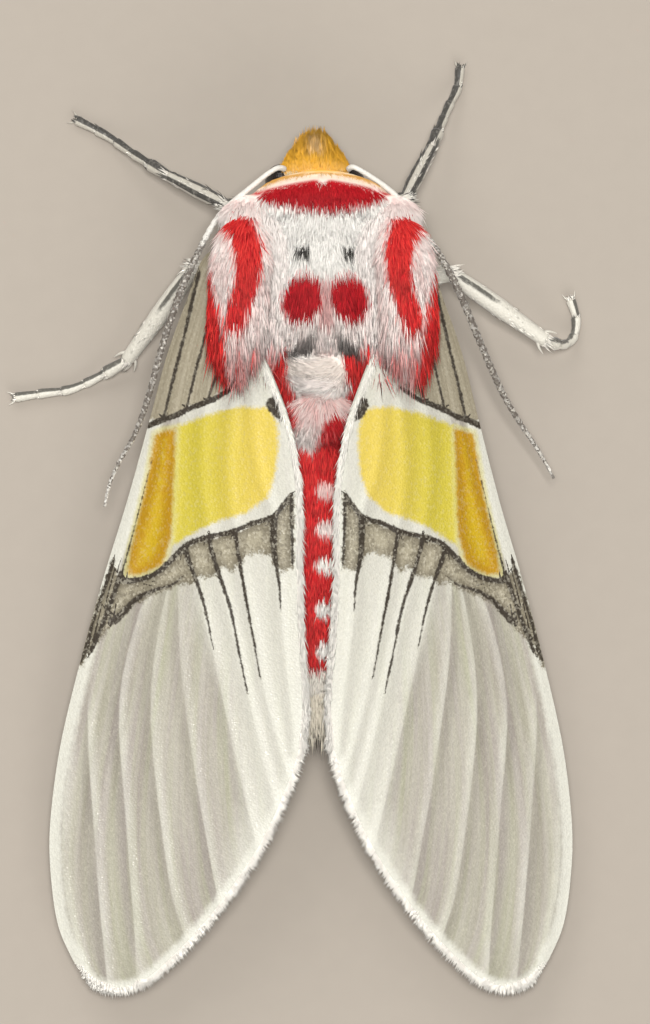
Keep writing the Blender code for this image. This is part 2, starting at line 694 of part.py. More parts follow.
def build():
    """Every node of the moth, about its own midline."""
    forewing = Wing(LEADING_EDGE, OUTER_MARGIN, INNER_EDGE, FOREWING_VEINS, FOREWING_ROWS, 0)
    hindwing = Wing(
        HINDWING_LEADING_EDGE, HINDWING_OUTER_MARGIN, HINDWING_INNER_EDGE, HINDWING_VEINS,
        HINDWING_ROWS, 1,
    )
    nodes = [
        node("thorax", thorax()), node("abdomen", abdomen()),
        node("collar", collar(), thorax(GAP) + [antenna(side, GAP) for side, _ in SIDES]),
        node("head", head(), thorax(GAP) + collar(GAP) + face_pieces()),
    ]
    for side, sign in SIDES:
        nodes += [
            node(f"forewing_{side}", [forewing.solid(sign)], thorax(GAP)),
            node(f"hindwing_{side}", [hindwing.solid(sign)], thorax(GAP)),
            node(f"tegula_{side}", tegula(sign),
                 thorax(GAP) + collar(GAP) + [forewing.solid(sign, GAP), antenna(side, GAP)]),
            node(f"eye_{side}", [eye(sign)]),
            node(f"palp_{side}", [palp(sign)]),
            node(f"antenna_{side}", [antenna(side)]),
        ]
    nodes += [node(name, leg(name), thorax(GAP, hair=False)) for name in LEGS]
    return nodes


def stand_on_origin(nodes):
    """Hangs the nodes on an empty that puts the middle of their box over the origin."""
    corners = [vertex.co for obj in nodes for vertex in obj.data.vertices]
    low = [min(corner[axis] for corner in corners) for axis in range(3)]
    high = [max(corner[axis] for corner in corners) for axis in range(3)]
    stand = bpy.data.objects.new("moth", None)
    bpy.context.scene.collection.objects.link(stand)
    stand.location = (-(low[0] + high[0]) / 2, -(low[1] + high[1]) / 2, -low[2])
    for obj in nodes:
        obj.parent = stand


def main():
    for obj in list(bpy.data.objects):
        bpy.data.objects.remove(obj)
    stand_on_origin(build())


main()
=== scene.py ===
"""The looks of a resting tiger moth, life size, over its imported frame.

Shapes are drawn in millimetres about the moth's own midline: x = 0 between the wings, the moth's
left at +x, its head towards -y and the floor at z = 0. Rig.world turns them into the shared frame.
"""

import logging
import math
from collections.abc import Callable
from dataclasses import dataclass, field
from enum import Enum

import bpy
import numpy as np
from mathutils import Matrix, Vector

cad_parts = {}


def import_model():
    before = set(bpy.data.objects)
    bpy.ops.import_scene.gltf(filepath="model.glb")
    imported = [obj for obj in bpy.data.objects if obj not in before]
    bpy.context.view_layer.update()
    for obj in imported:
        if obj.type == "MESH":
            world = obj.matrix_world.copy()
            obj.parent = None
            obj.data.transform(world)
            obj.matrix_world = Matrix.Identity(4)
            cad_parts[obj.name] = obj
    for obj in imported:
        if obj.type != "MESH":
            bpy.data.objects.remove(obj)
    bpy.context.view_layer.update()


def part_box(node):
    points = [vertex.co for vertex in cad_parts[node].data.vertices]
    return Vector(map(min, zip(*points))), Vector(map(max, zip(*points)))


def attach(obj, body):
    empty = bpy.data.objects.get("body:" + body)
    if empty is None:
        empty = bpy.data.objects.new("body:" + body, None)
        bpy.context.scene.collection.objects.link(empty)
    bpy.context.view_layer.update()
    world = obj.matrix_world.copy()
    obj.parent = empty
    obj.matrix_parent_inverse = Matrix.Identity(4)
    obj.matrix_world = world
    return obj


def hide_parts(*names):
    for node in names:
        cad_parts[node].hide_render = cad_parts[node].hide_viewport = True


Array = np.ndarray
Shape = Callable[[Array, Array], Array]
Lie = Callable[[Array, Array], Array]

LOG = logging.getLogger("moth")
FAR_AWAY = 1e9
METRES = 0.001
UP = np.array((0.0, 0.0, 1.0))
BACKWARDS = np.array((0.0, 1.0, 0.0))
BODY = "root"


class Side(Enum):
    """The two sides of the moth, with the sign of x on each."""

    LEFT = 1
    RIGHT = -1

    @property
    def word(self) -> str:
        """The side as the frame's nodes name it."""
        return self.name.lower()


class Slot(Enum):
    """The record's finishes."""

    HEAD = "head_hair"
    RED = "red_hair"
    WHITE = "white_hair"
    EYE = "eye"
    ANTENNA = "antenna"
    FOREWING = "forewing"
    HINDWING = "hindwing"
    DARK_LEG = "dark_leg"
    PALE_LEG = "pale_leg"


# Curves and distances


def unit(vectors: Array) -> Array:
    """The vectors, each scaled to length 1."""
    return vectors / np.maximum(np.linalg.norm(vectors, axis=-1, keepdims=True), 1e-9)


def soft_step(low: float, high: float, values: Array) -> Array:
    """0 below low, 1 above high and an S between them. The edges may be given high first."""
    t = np.clip((values - low) / (high - low), 0, 1)
    return t * t * (3 - 2 * t)


def hermite(before: Array, a: Array, b: Array, after: Array, t: Array, slopes: tuple) -> Array:
    """A cubic from a to b whose end slopes come from the neighbours on either side.

    Args:
        before, a, b, after: four values in a row.
        t: shares of the way from a to b.
        slopes: factors on the slopes at a and at b.

    Returns:
        The values at t.
    """
    out, back = (b - before) * slopes[0], (after - a) * slopes[1]
    return (
        a * (2 * t**3 - 3 * t**2 + 1) + b * (3 * t**2 - 2 * t**3)
        + out * (t**3 - 2 * t**2 + t) + back * (t**3 - t**2)
    )


class Table:
    """Rows of sizes by station, eased smoothly between the rows."""

    def __init__(self, rows: tuple) -> None:
        """Takes rows that start with their station."""
        self.rows = np.array(rows, float)
        self.first, self.last = self.rows[0, 0], self.rows[-1, 0]

    def at(self, stations: Array) -> Array:
        """The sizes at stations.

        Args:
            stations: any array of stations, held within the table's own.

        Returns:
            An array of sizes, whose first axis is the table's column.
        """
        rows = self.rows
        stations = np.clip(stations, self.first, self.last)
        k = np.clip(np.searchsorted(rows[:, 0], stations, "right") - 1, 0, len(rows) - 2)
        before, after = np.maximum(k - 1, 0), np.minimum(k + 2, len(rows) - 1)
        span = rows[k + 1, 0] - rows[k, 0]
        slopes = (span / (rows[k + 1, 0] - rows[before, 0]), span / (rows[after, 0] - rows[k, 0]))
        t = (stations - rows[k, 0]) / span
        return np.stack([
            hermite(rows[before, c], rows[k, c], rows[k + 1, c], rows[after, c], t, slopes)
            for c in range(1, rows.shape[1])
        ])


class Line:
    """A smooth line through points, read by its share of length from 0 to 1."""

    STEPS = 16

    def __init__(self, points: tuple | Array) -> None:
        """Takes points of two or three coordinates."""
        given = np.array(points, float)
        if given.shape[1] == 2:
            given = np.column_stack([given, np.zeros(len(given))])
        steps = np.arange(self.STEPS)[:, None] / self.STEPS
        made = []
        for k in range(len(given) - 1):
            before, after = given[max(k - 1, 0)], given[min(k + 2, len(given) - 1)]
            made.append(hermite(before, given[k], given[k + 1], after, steps, (0.5, 0.5)))
        self.points = np.concatenate(made + [given[-1:]])
        gaps = np.linalg.norm(np.diff(self.points, axis=0), axis=1)
        self.lengths = np.concatenate([[0.0], np.cumsum(gaps)])
        self.length = self.lengths[-1]

    def at(self, shares: Array) -> Array:
        """The places at shares of the length."""
        wanted = np.clip(shares, 0, 1) * self.length
        return np.stack([np.interp(wanted, self.lengths, self.points[:, c]) for c in range(3)], -1)

    def along(self, shares: Array) -> Array:
        """The directions at shares of the length."""
        return unit(self.at(np.clip(shares, 0, 0.99) + 0.01) - self.at(np.clip(shares, 0.01, 1) - 0.01))


def to_line(places: Array, line: tuple | Array) -> tuple[Array, Array, Array]:
    """How far places lie from a broken line, seen from above.

    Args:
        places: points, of which x and y count.
        line: the line's corners.

    Returns:
        The distances, the share of the line's length at the nearest point, and 1 for places on
        the line's left as it runs, -1 for those on its right.
    """
    flat = places[..., :2]
    corners = np.array(line, float)
    lengths = np.linalg.norm(np.diff(corners, axis=0), axis=1)
    starts = np.concatenate([[0.0], np.cumsum(lengths)])
    nearest = np.full(flat.shape[:-1], FAR_AWAY)
    share, side = np.zeros(flat.shape[:-1]), np.ones(flat.shape[:-1])
    for k, (a, b) in enumerate(zip(corners, corners[1:])):
        step = b - a
        t = np.clip(((flat - a) @ step) / max(step @ step, 1e-12), 0, 1)
        away = flat - (a + t[..., None] * step)
        gap = np.linalg.norm(away, axis=-1)
        closer = gap < nearest
        on_left = step[0] * away[..., 1] > step[1] * away[..., 0]
        side = np.where(closer, np.where(on_left, 1.0, -1.0), side)
        nearest = np.where(closer, gap, nearest)
        share = np.where(closer, (starts[k] + t * lengths[k]) / starts[-1], share)
    return nearest, share, side


def smooth_corners(line: tuple) -> Array:
    """More corners on a line, so that it bends smoothly."""
    return Line(line).points[::4, :2]


def depth_inside(places: Array, outline: tuple) -> Array:
    """How deep places lie inside a closed outline seen from above, negative outside it."""
    flat = places[..., :2]
    corners = tuple(outline) + (outline[0],)
    within = np.zeros(flat.shape[:-1], bool)
    for (ax, ay), (bx, by) in zip(corners, corners[1:]):
        spans = (ay > flat[..., 1]) != (by > flat[..., 1])
        crossing = ax + (flat[..., 1] - ay) * (bx - ax) / ((by - ay) or 1e-12)
        within ^= spans & (flat[..., 0] < crossing)
    distance = to_line(places, corners)[0]
    return np.where(within, distance, -distance)


# The rig: where the moth stands in the shared frame


@dataclass(frozen=True)
class Rig:
    """Where the moth's midline and its wing tips lie in the shared frame, in millimetres."""

    across: float
    along: float

    THORAX_FRONT = -8.9

    @classmethod
    def from_frame(cls) -> "Rig":
        """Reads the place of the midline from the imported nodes."""
        left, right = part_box("forewing_left"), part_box("forewing_right")
        across = (left[1].x + right[0].x) / 2 / METRES
        return cls(across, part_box("thorax")[0].y / METRES - cls.THORAX_FRONT)

    def world(self, places: Array) -> Array:
        """The places, in metres in the shared frame."""
        return (places + np.array((self.across, self.along, 0.0))) * METRES


# Meshes


def deselect() -> None:
    """Leaves nothing selected."""
    bpy.ops.object.select_all(action="DESELECT")


def select_only(*objects: bpy.types.Object) -> None:
    """Selects the objects and makes the first one active."""
    deselect()
    for obj in objects:
        obj.select_set(True)
    bpy.context.view_layer.objects.active = objects[0]


def rows_of(mesh: bpy.types.Mesh, what: str) -> Array:
    """The vertices' places ("co") or outward directions ("normal"), one to a row."""
    flat = np.empty(len(mesh.vertices) * 3, np.float32)
    mesh.vertices.foreach_get(what, flat)
    return flat.reshape(-1, 3).astype(float)


def places_of(mesh: bpy.types.Mesh) -> Array:
    """A mesh's vertices as rows of x, y and z."""
    return rows_of(mesh, "co")


def set_places(mesh: bpy.types.Mesh, places: Array) -> None:
    """Moves a mesh's vertices to new places."""
    mesh.vertices.foreach_set("co", places.astype(np.float32).ravel())
    mesh.update()


def set_numbers(mesh: bpy.types.Mesh, numbers: dict[str, Array]) -> None:
    """Gives each vertex a number under each name, for the materials to read."""
    for name, values in numbers.items():
        made = mesh.attributes.new(name, "FLOAT", "POINT")
        made.data.foreach_set("value", np.asarray(values, np.float32).ravel())


def set_directions(mesh: bpy.types.Mesh, name: str, directions: Array) -> None:
    """Gives each vertex a direction under a name, for the materials to read."""
    made = mesh.attributes.new(name, "FLOAT_VECTOR", "POINT")
    made.data.foreach_set("vector", directions.astype(np.float32).ravel())


def set_map(mesh: bpy.types.Mesh, name: str, spots: Array) -> None:
    """Gives a mesh a UV map with one spot for each vertex."""
    corners = np.empty(len(mesh.loops), np.int32)
    mesh.loops.foreach_get("vertex_index", corners)
    layer = mesh.uv_layers.get(name) or mesh.uv_layers.new(name=name)
    layer.data.foreach_set("uv", spots[corners].astype(np.float32).ravel())


def mesh_piece(name: str, places: Array, faces: Array) -> bpy.types.Object:
    """An object from arrays.

    Args:
        name: the piece's name.
        places: vertices, in millimetres about the midline.
        faces: rows of vertex numbers, all of one length.

    Returns:
        The object, smooth all over.
    """
    mesh = bpy.data.meshes.new(name)
    count, sides = faces.shape
    mesh.vertices.add(len(places))
    mesh.vertices.foreach_set("co", places.astype(np.float32).ravel())
    mesh.loops.add(count * sides)
    mesh.loops.foreach_set("vertex_index", faces.astype(np.int32).ravel())
    mesh.polygons.add(count)
    mesh.polygons.foreach_set("loop_start", np.arange(0, count * sides, sides, dtype=np.int32))
    mesh.update(calc_edges=True)
    mesh.shade_smooth()
    obj = bpy.data.objects.new(name, mesh)
    bpy.context.scene.collection.objects.link(obj)
    return obj


def wrapped_grid(name: str, rows: int, columns: int, shape: Shape) -> bpy.types.Object:
    """A grid primitive that is wrapped by a shape and closed where it meets itself.

    Args:
        name: the piece's name.
        rows, columns: faces down and across the grid.
        shape: gives places for the shares, from 0 to 1, down and across the grid.

    Returns:
        The object, with the grid's own UV map.
    """
    deselect()
    bpy.ops.mesh.primitive_grid_add(x_subdivisions=columns, y_subdivisions=rows, size=1)
    obj = bpy.context.active_object
    obj.name = obj.data.name = name
    flat = places_of(obj.data)
    set_places(obj.data, shape(flat[:, 1] + 0.5, flat[:, 0] + 0.5))
    bpy.ops.object.mode_set(mode="EDIT")
    bpy.ops.mesh.select_all(action="SELECT")
    bpy.ops.mesh.remove_doubles(threshold=0.0002)
    bpy.ops.mesh.normals_make_consistent(inside=False)
    bpy.ops.object.mode_set(mode="OBJECT")
    bpy.ops.object.shade_smooth()
    return obj


def join(name: str, pieces: list[bpy.types.Object]) -> bpy.types.Object:
    """Joins pieces into one object with a name."""
    select_only(*pieces)
    if len(pieces) > 1:
        bpy.ops.object.join()
    obj = bpy.context.active_object
    obj.name = obj.data.name = name
    return obj


def apply_modifier(obj: bpy.types.Object, kind: str, **settings: object) -> None:
    """Adds a modifier with its settings and applies it at once."""
    select_only(obj)
    modifier = obj.modifiers.new(kind.lower(), kind)
    for name, value in settings.items():
        setattr(modifier, name, value)
    bpy.ops.object.modifier_apply(modifier=modifier.name)


# Forms: surfaces that can be modelled, and that hair can root on


@dataclass
class Form:
    """A surface given by its shares down and across, which closes round itself."""

    shape: Shape

    STEP = 0.004

    def across_each(self, down: Array, across: Array) -> Array:
        """The outward directions at shares of the surface, as long as the surface there is wide."""
        step = self.STEP
        by_down = self.shape(down + step, across) - self.shape(down - step, across)
        by_across = self.shape(down, across + step) - self.shape(down, across - step)
        return np.cross(by_down, by_across)

    def normals(self, down: Array, across: Array) -> Array:
        """The outward directions at shares of the surface."""
        return unit(self.across_each(down, across))

    def area(self, down: Array, across: Array) -> Array:
        """How much surface there is round each place, to spread roots evenly."""
        return np.linalg.norm(self.across_each(down, across), axis=-1)

    def grid(self, name: str, rows: int, columns: int) -> bpy.types.Object:
        """The form as a closed mesh."""
        return wrapped_grid(name, rows, columns, self.shape)


def rounded(shares: Array, cap: float) -> tuple[Array, Array]:
    """Turns shares along a rod into rounded ends.

    Args:
        shares: shares from one pole to the other.
        cap: the share that each rounded end takes.

    Returns:
        The shares of the rod's own length, and the factors on its radius.
    """
    ends = np.minimum(shares, 1 - shares)
    lift = np.clip(ends / cap, 0, 1)
    radius = np.sqrt(np.clip(1 - (1 - lift) ** 2, 0, 1))
    return np.clip((shares - cap * 0.5) / (1 - cap), 0, 1), radius


def rod_shape(line: Line, radius: Callable[[Array], Array], cap: float = 0.06,
              flat: float = 1.0) -> Shape:
    """A rod along a line, with rounded ends.

    Args:
        line: the rod's middle.
        radius: gives the radius at shares of the line's length.
        cap: the share of its rows that each rounded end takes.
        flat: the height as a share of the width.

    Returns:
        The rod's shape.
    """
    def shape(down: Array, across: Array) -> Array:
        """Places on the rod, whose first column is underneath."""
        share, end = rounded(np.clip(down, 0, 1), cap)
        middle, along = line.at(share), line.along(share)
        side = unit(np.cross(along, UP))
        up = np.cross(side, along)
        angle = 2 * np.pi * across - np.pi / 2
        size = (radius(share) * end)[..., None]
        wide, tall = np.cos(angle)[..., None], np.sin(angle)[..., None]
        return middle + side * size * wide + up * size * flat * tall
    return shape


def body_shape(table: Table, grow: float, cap: float = 0.08) -> Shape:
    """A body part through its cross-sections, which are ellipses of different rise and drop.

    Args:
        table: by station along the body, the axis height, half width, rise and drop.
        grow: how much larger it is than the table says.
        cap: the share of its rows that each rounded end takes.

    Returns:
        The part's shape, whose first column is underneath.
    """
    def shape(down: Array, across: Array) -> Array:
        """Places on the body part."""
        share, end = rounded(np.clip(down, 0, 1), cap)
        station = table.first + share * (table.last - table.first)
        height, half_width, rise, drop = table.at(station)
        angle = 2 * np.pi * across - np.pi / 2
        tall = np.where(np.sin(angle) > 0, rise, drop) + grow
        return np.stack([
            (half_width + grow) * end * np.cos(angle), station,
            height + tall * end * np.sin(angle),
        ], -1)
    return shape


def moved(shape: Shape, by: tuple) -> Shape:
    """The same shape, moved."""
    return lambda down, across: shape(down, across) + np.array(by)


def ball_shape(centre: tuple, radii: tuple) -> Shape:
    """An ellipsoid with its poles in front and behind, whose first column is underneath."""
    def shape(down: Array, across: Array) -> Array:
        """Places on the ball."""
        polar, angle = np.pi * np.clip(down, 0, 1), 2 * np.pi * across - np.pi / 2
        return np.stack([
            centre[0] + radii[0] * np.sin(polar) * np.cos(angle),
            centre[1] - radii[1] * np.cos(polar),
            centre[2] + radii[2] * np.sin(polar) * np.sin(angle),
        ], -1)
    return shape


# Finishes


def linear(code: str) -> tuple[float, float, float, float]:
    """A colour given as sRGB hex, turned linear."""
    parts = [int(code[k:k + 2], 16) / 255 for k in (1, 3, 5)]
    return (*[p / 12.92 if p <= 0.04045 else ((p + 0.055) / 1.055) ** 2.4 for p in parts], 1.0)


def add_node(tree: bpy.types.NodeTree, kind: str, inputs: dict | tuple = (),
             **settings: object) -> bpy.types.bpy_prop_collection:
    """Adds a shader node to a tree.

    Args:
        tree: the material's nodes.
        kind: the node's type, without the words that all shader nodes start with.
        inputs: sockets to link from or values, in order or by the input's name or number.
        settings: the node's own settings.

    Returns:
        The node's outputs.
    """
    made = tree.nodes.new("ShaderNode" + kind)
    for name, value in settings.items():
        setattr(made, name, value)
    for name, value in inputs.items() if isinstance(inputs, dict) else enumerate(inputs):
        if isinstance(value, bpy.types.NodeSocket):
            tree.links.new(value, made.inputs[name])
        else:
            made.inputs[name].default_value = value
    return made.outputs


def new_material(name: str, **sockets: float) -> tuple:
    """A material with its shader.

    Args:
        name: the finish's name.
        sockets: values of the shader's sockets, with _ for a space.

    Returns:
        The material, its nodes and its shader.
    """
    material = bpy.data.materials.new(name)
    material.use_nodes = True
    shader = material.node_tree.nodes["Principled BSDF"]
    for socket, value in sockets.items():
        shader.inputs[socket.replace("_", " ")].default_value = value
    return material, material.node_tree, shader


def cells_over(tree: bpy.types.NodeTree, shader: bpy.types.Node, size: float, strength: float,
               depth: float = 0.03, randomness: float = 1.0) -> tuple:
    """Covers a surface with small raised cells, such as scales or lenses.

    Args:
        tree, shader: the material's nodes and its shader.
        size, depth: how wide and how high the cells are, in millimetres.
        strength: how far the bump is seen.
        randomness: 0 for cells in straight rows, 1 for cells anywhere.

    Returns:
        The socket of the places on the object, and that of each cell's own chance colour.
    """
    spot = add_node(tree, "TexCoord")["Object"]
    cells = add_node(tree, "TexVoronoi", {
        "Vector": spot, "Scale": 1 / (size * METRES), "Randomness": randomness,
    })
    bump = add_node(tree, "Bump", {
        "Height": cells["Distance"], "Strength": strength, "Distance": depth * METRES,
    })
    tree.links.new(bump[0], shader.inputs["Normal"])
    return spot, cells["Color"]


def colour_by(tree: bpy.types.NodeTree, shader: bpy.types.Node, colour: object, value: object,
              low: float, high: float) -> None:
    """Gives a shader its colour, lit by a value from 0 to 1.

    Args:
        tree, shader: the material's nodes and its shader.
        colour: the colour, or the socket that gives it.
        value: the socket that gives the value.
        low, high: the factors on the colour where the value is 0 and 1.
    """
    factor = add_node(tree, "MapRange", (value, 0.0, 1.0, low, high))[0]
    shaded = add_node(tree, "VectorMath", {0: colour, 3: factor}, operation="SCALE")[0]
    tree.links.new(shaded, shader.inputs["Base Color"])


def painted(tree: bpy.types.NodeTree, ground: object, layers: list) -> object:
    """Paints colours over a ground.

    Args:
        tree: the material's nodes.
        ground: the lowest colour, or the socket that gives it.
        layers: each colour and how far it covers what is below, from the lowest to the highest.

    Returns:
        The socket that gives the painted colour.
    """
    for dye, cover in layers:
        ground = add_node(tree, "Mix", {0: cover, 6: ground, 7: dye}, data_type="RGBA")[2]
    return ground


@dataclass(frozen=True)
class HairScales:
    """Hair-like scales: long flat chitin blades, matt with a silky sheen, each its own shade.

    The eye sees fine streaks that run with the coat, deeper in colour at their roots and
    paler at their tips.
    """

    name: str
    white: str = "#fdfaf2"
    white_root: str = "#f8f0e6"
    red: str = "#bd121e"
    red_light: str = "#e73733"
    red_tip: str = "#ec7a66"
    crimson: str = "#ad0b1c"
    black: str = "#3b3935"
    orange: str = "#f4a51c"
    orange_tip: str = "#fbbd42"
    cream: str = "#efdfbd"
    roughness: float = 0.6

    def material(self) -> bpy.types.Material:
        """Builds the finish from the marks and shades that each tuft carries."""
        made, tree, shader = new_material(
            self.name, Roughness=self.roughness, Sheen_Weight=0.02, Sheen_Roughness=0.4,
            Specular_IOR_Level=0.08, IOR=1.55,
        )
        marks = {
            name: add_node(tree, "Attribute", attribute_name=name)["Fac"]
            for name in ("red", "black", "orange", "cream", "deep", "shade", "along")
        }
        tip = add_node(tree, "MapRange", (marks["along"], 0.55, 1.0, 0.0, 0.16))[0]
        scarlet = painted(tree, linear(self.red), [
            (linear(self.red_light), marks["shade"]), (linear(self.red_tip), tip),
            (linear(self.crimson), marks["deep"]),
        ])
        amber = painted(tree, linear(self.orange), [(linear(self.orange_tip), marks["along"])])
        colour = painted(tree, linear(self.white_root), [
            (linear(self.white), marks["along"]), (linear(self.cream), marks["cream"]),
            (scarlet, marks["red"]), (amber, marks["orange"]), (linear(self.black), marks["black"]),
        ])
        # The coat is lit as one soft surface, because its hairs pass light on to each other.
        facing = add_node(tree, "Attribute", attribute_name="facing")["Vector"]
        tree.links.new(facing, shader.inputs["Normal"])
        colour_by(tree, shader, colour, marks["shade"], 0.93, 1.0)
        return made


@dataclass(frozen=True)
class WingScales:
    """Flat overlapping scales on a folded membrane: satin, with a glittering grain.

    A scale is 0.05 to 0.1 mm long, and the grain is drawn at 0.06 mm. Soft pearly stripes along the
    folds are painted highlight, shade and sheen, and pale glints on the dark marks are painted too.
    """

    name: str
    pale: str = "#cbc9bd"
    pearl: str = "#938b82"
    pearl_green: str = "#9b9983"
    # painted shade on the outer flank of each fold
    pearl_deep: str = "#7a736b"
    # painted satin sheen along the rows of scales
    pearl_light: str = "#afa99f"
    lemon: str = "#b9aa3a"
    lemon_warm: str = "#cab34f"
    lemon_pale: str = "#c0b770"
    gold: str = "#b49512"
    gold_deep: str = "#a77d0c"
    base: str = "#857c67"
    # painted satin sheen on the olive base
    base_light: str = "#b5ac98"
    band: str = "#9c947f"
    band_dark: str = "#4e4637"
    dark: str = "#352e25"
    # the colour of painted glints on single scales
    sparkle: str = "#dcd5c1"
    grain: float = 0.06
    roughness: float = 0.42

    def material(self) -> bpy.types.Material:
        """Builds the finish from the distances to each mark that the wing carries."""
        made, tree, shader = new_material(
            self.name, Roughness=self.roughness, Sheen_Weight=0.05, Sheen_Roughness=0.35,
            Specular_IOR_Level=0.3, IOR=1.55,
        )
        spot, chances = cells_over(tree, shader, self.grain, 0.35)
        chance = add_node(tree, "SeparateColor", (chances,))
        away = {
            name: add_node(tree, "Attribute", attribute_name=name)["Fac"]
            for name in (
                "lemon", "gold", "base", "band", "dark", "drop", "streak", "breadth", "costa", "margin",
                "fold", "lone", "far", "warm",
            )
        }
        ragged = add_node(tree, "TexNoise", {
            "Vector": spot, "Scale": 1 / (0.22 * METRES), "Detail": 4.0, "Roughness": 0.7,
        })[0]
        cloud = add_node(tree, "TexNoise", {
            "Vector": spot, "Scale": 1 / (2.2 * METRES), "Detail": 2.0,
        })[0]
        # Marks end on a ragged edge, because they are made of whole scales.
        jag = add_node(tree, "Math", (ragged, 0.5), operation="SUBTRACT")[0]
        jag = add_node(tree, "Math", (jag, 0.3), operation="MULTIPLY")[0]
        flip = add_node(tree, "Math", (chance[0], 0.5), operation="SUBTRACT")[0]
        wobble = add_node(tree, "Math", (flip, 0.07, jag), operation="MULTIPLY_ADD")[0]

        def eased(value: bpy.types.NodeSocket, low: float, high: float, most: float = 1.0) -> object:
            """The value, turned into a soft step from 0 at low to most at high."""
            row = (value, low, high, 0.0, most)
            return add_node(tree, "MapRange", row, interpolation_type="SMOOTHSTEP")[0]

        def mask(name: str, low: float, high: float, share: float, most: float = 1.0) -> object:
            """How far a mark covers a place, from its distance and a share of the ragged edge."""
            moved = add_node(tree, "Math", (wobble, share, away[name]), operation="MULTIPLY_ADD")[0]
            return eased(moved, low, high, most)

        # Scales lie in rows from root to margin, which show as faint streaks beside the folds. The
        # lighter streaks are painted satin sheen.
        own = add_node(tree, "UVMap", uv_map="UVMap")[0]
        long = add_node(tree, "Mapping", {0: own, 3: (26.0, 2.2, 1.0)})[0]
        streak = add_node(tree, "TexNoise", {
            "Vector": long, "Scale": 1.0, "Detail": 3.0, "Roughness": 0.6,
        })
        satin = add_node(tree, "MapRange", (streak[0], 0.35, 0.7, 0.0, 0.7))[0]
        third = add_node(tree, "SeparateColor", (streak[1],))[2]
        tint = add_node(tree, "MapRange", (third, 0.38, 0.62, 0.0, 1.0))[0]
        # Each fold gets a painted highlight on its inner side and painted shade on its outer side. The
        # signed distance is sharp at the fold, and "lone" hides where it changes to the next one.
        uneven = add_node(tree, "MapRange", (cloud, 0.35, 0.65, 0.35, 1.0))[0]
        lone = mask("lone", 0.1, 0.25, 0.0)
        uneven = add_node(tree, "Math", (uneven, lone), operation="MULTIPLY")[0]
        sides = []
        for start, sharp, soft, most in ((-0.03, 0.02, 0.3, 0.48), (0.03, -0.02, -0.4, 0.5)):
            ends = (mask("fold", start, sharp, 0.0), mask("fold", soft, sharp, 0.3, most))
            side = add_node(tree, "Math", ends, operation="MULTIPLY")[0]
            sides.append(add_node(tree, "Math", (side, uneven), operation="MULTIPLY")[0])
        # The first is the folds' painted highlight, the second their painted shade.
        painted_crest_light, flank = sides
        pale = linear(self.pale)
        ground = painted(tree, linear(self.pearl), [
            (linear(self.pearl_green), tint), (linear(self.pearl_light), satin),
            (linear(self.pearl_deep), flank), (pale, painted_crest_light), (pale, mask("far", 1.0, 0.0, 0.8, 0.72)),
            (pale, mask("margin", 0.3, 0.04, 0.6)), (pale, mask("costa", 0.44, 0.2, 0.4)),
        ])
        yellow = painted(tree, linear(self.lemon), [(linear(self.lemon_warm), away["warm"])])
        edge = mask("gold", 0.5, 0.1, 1.5)
        orange = painted(tree, linear(self.gold), [(linear(self.gold_deep), edge)])
        # The same painted sheen streaks lighten the olive base.
        base_sheen_share = add_node(tree, "Math", (satin, 0.9), operation="MULTIPLY")[0]
        olive = painted(tree, linear(self.base), [(linear(self.base_light), base_sheen_share)])
        mottled = mask("dark", -0.3, 0.02, 2.6, 0.6)
        smoky = painted(tree, linear(self.band), [
            (linear(self.band_dark), mottled),
            (linear(self.band_dark), mask("band", 0.26, 0.0, 2.6, 0.5)),
        ])
        # A dark line is drawn from the place across it and its half width.
        across = add_node(tree, "Math", (away["streak"],), operation="ABSOLUTE")[0]
        ink = add_node(tree, "Math", (away["breadth"], across), operation="SUBTRACT")[0]
        ink = add_node(tree, "Math", (wobble, 0.3, ink), operation="MULTIPLY_ADD")[0]
        ink = eased(ink, -0.03, 0.02)
        close = add_node(tree, "Math", (away["dark"], -0.1), operation="GREATER_THAN")[0]
        ink = add_node(tree, "Math", (ink, close), operation="MULTIPLY")[0]
        colour = painted(tree, ground, [
            (yellow, mask("lemon", -0.07, 0.09, 0.7)),
            (linear(self.lemon_pale), mask("gold", -0.16, -0.03, 0.3, 0.6)),
            (orange, mask("gold", -0.05, 0.1, 0.5)), (olive, mask("base", -0.05, 0.08, 0.8)),
            (smoky, mask("band", -0.06, 0.07, 1.3)), (linear(self.dark), ink),
            (linear(self.dark), mask("drop", -0.05, 0.03, 0.6)),
        ])
        # One scale in a few is lightened as a painted glint, which shows most on the dark marks.
        glint = add_node(tree, "MapRange", (chance[1], 0.66, 1.0, 0.0, 0.3))[0]
        brown = add_node(tree, "MapRange", (mask("band", -0.1, 0.05, 2.0), 0.0, 1.0, 0.4, 1.0))[0]
        glint = add_node(tree, "Math", (glint, brown), operation="MULTIPLY")[0]
        with_painted_glints = painted(tree, colour, [(linear(self.sparkle), glint)])
        colour_by(tree, shader, with_painted_glints, chance[2], 0.95, 1.04)
        rough = add_node(tree, "MapRange", (chance[1], 0.6, 1.0, 0.52, 0.26))[0]
        tree.links.new(rough, shader.inputs["Roughness"])
        return made


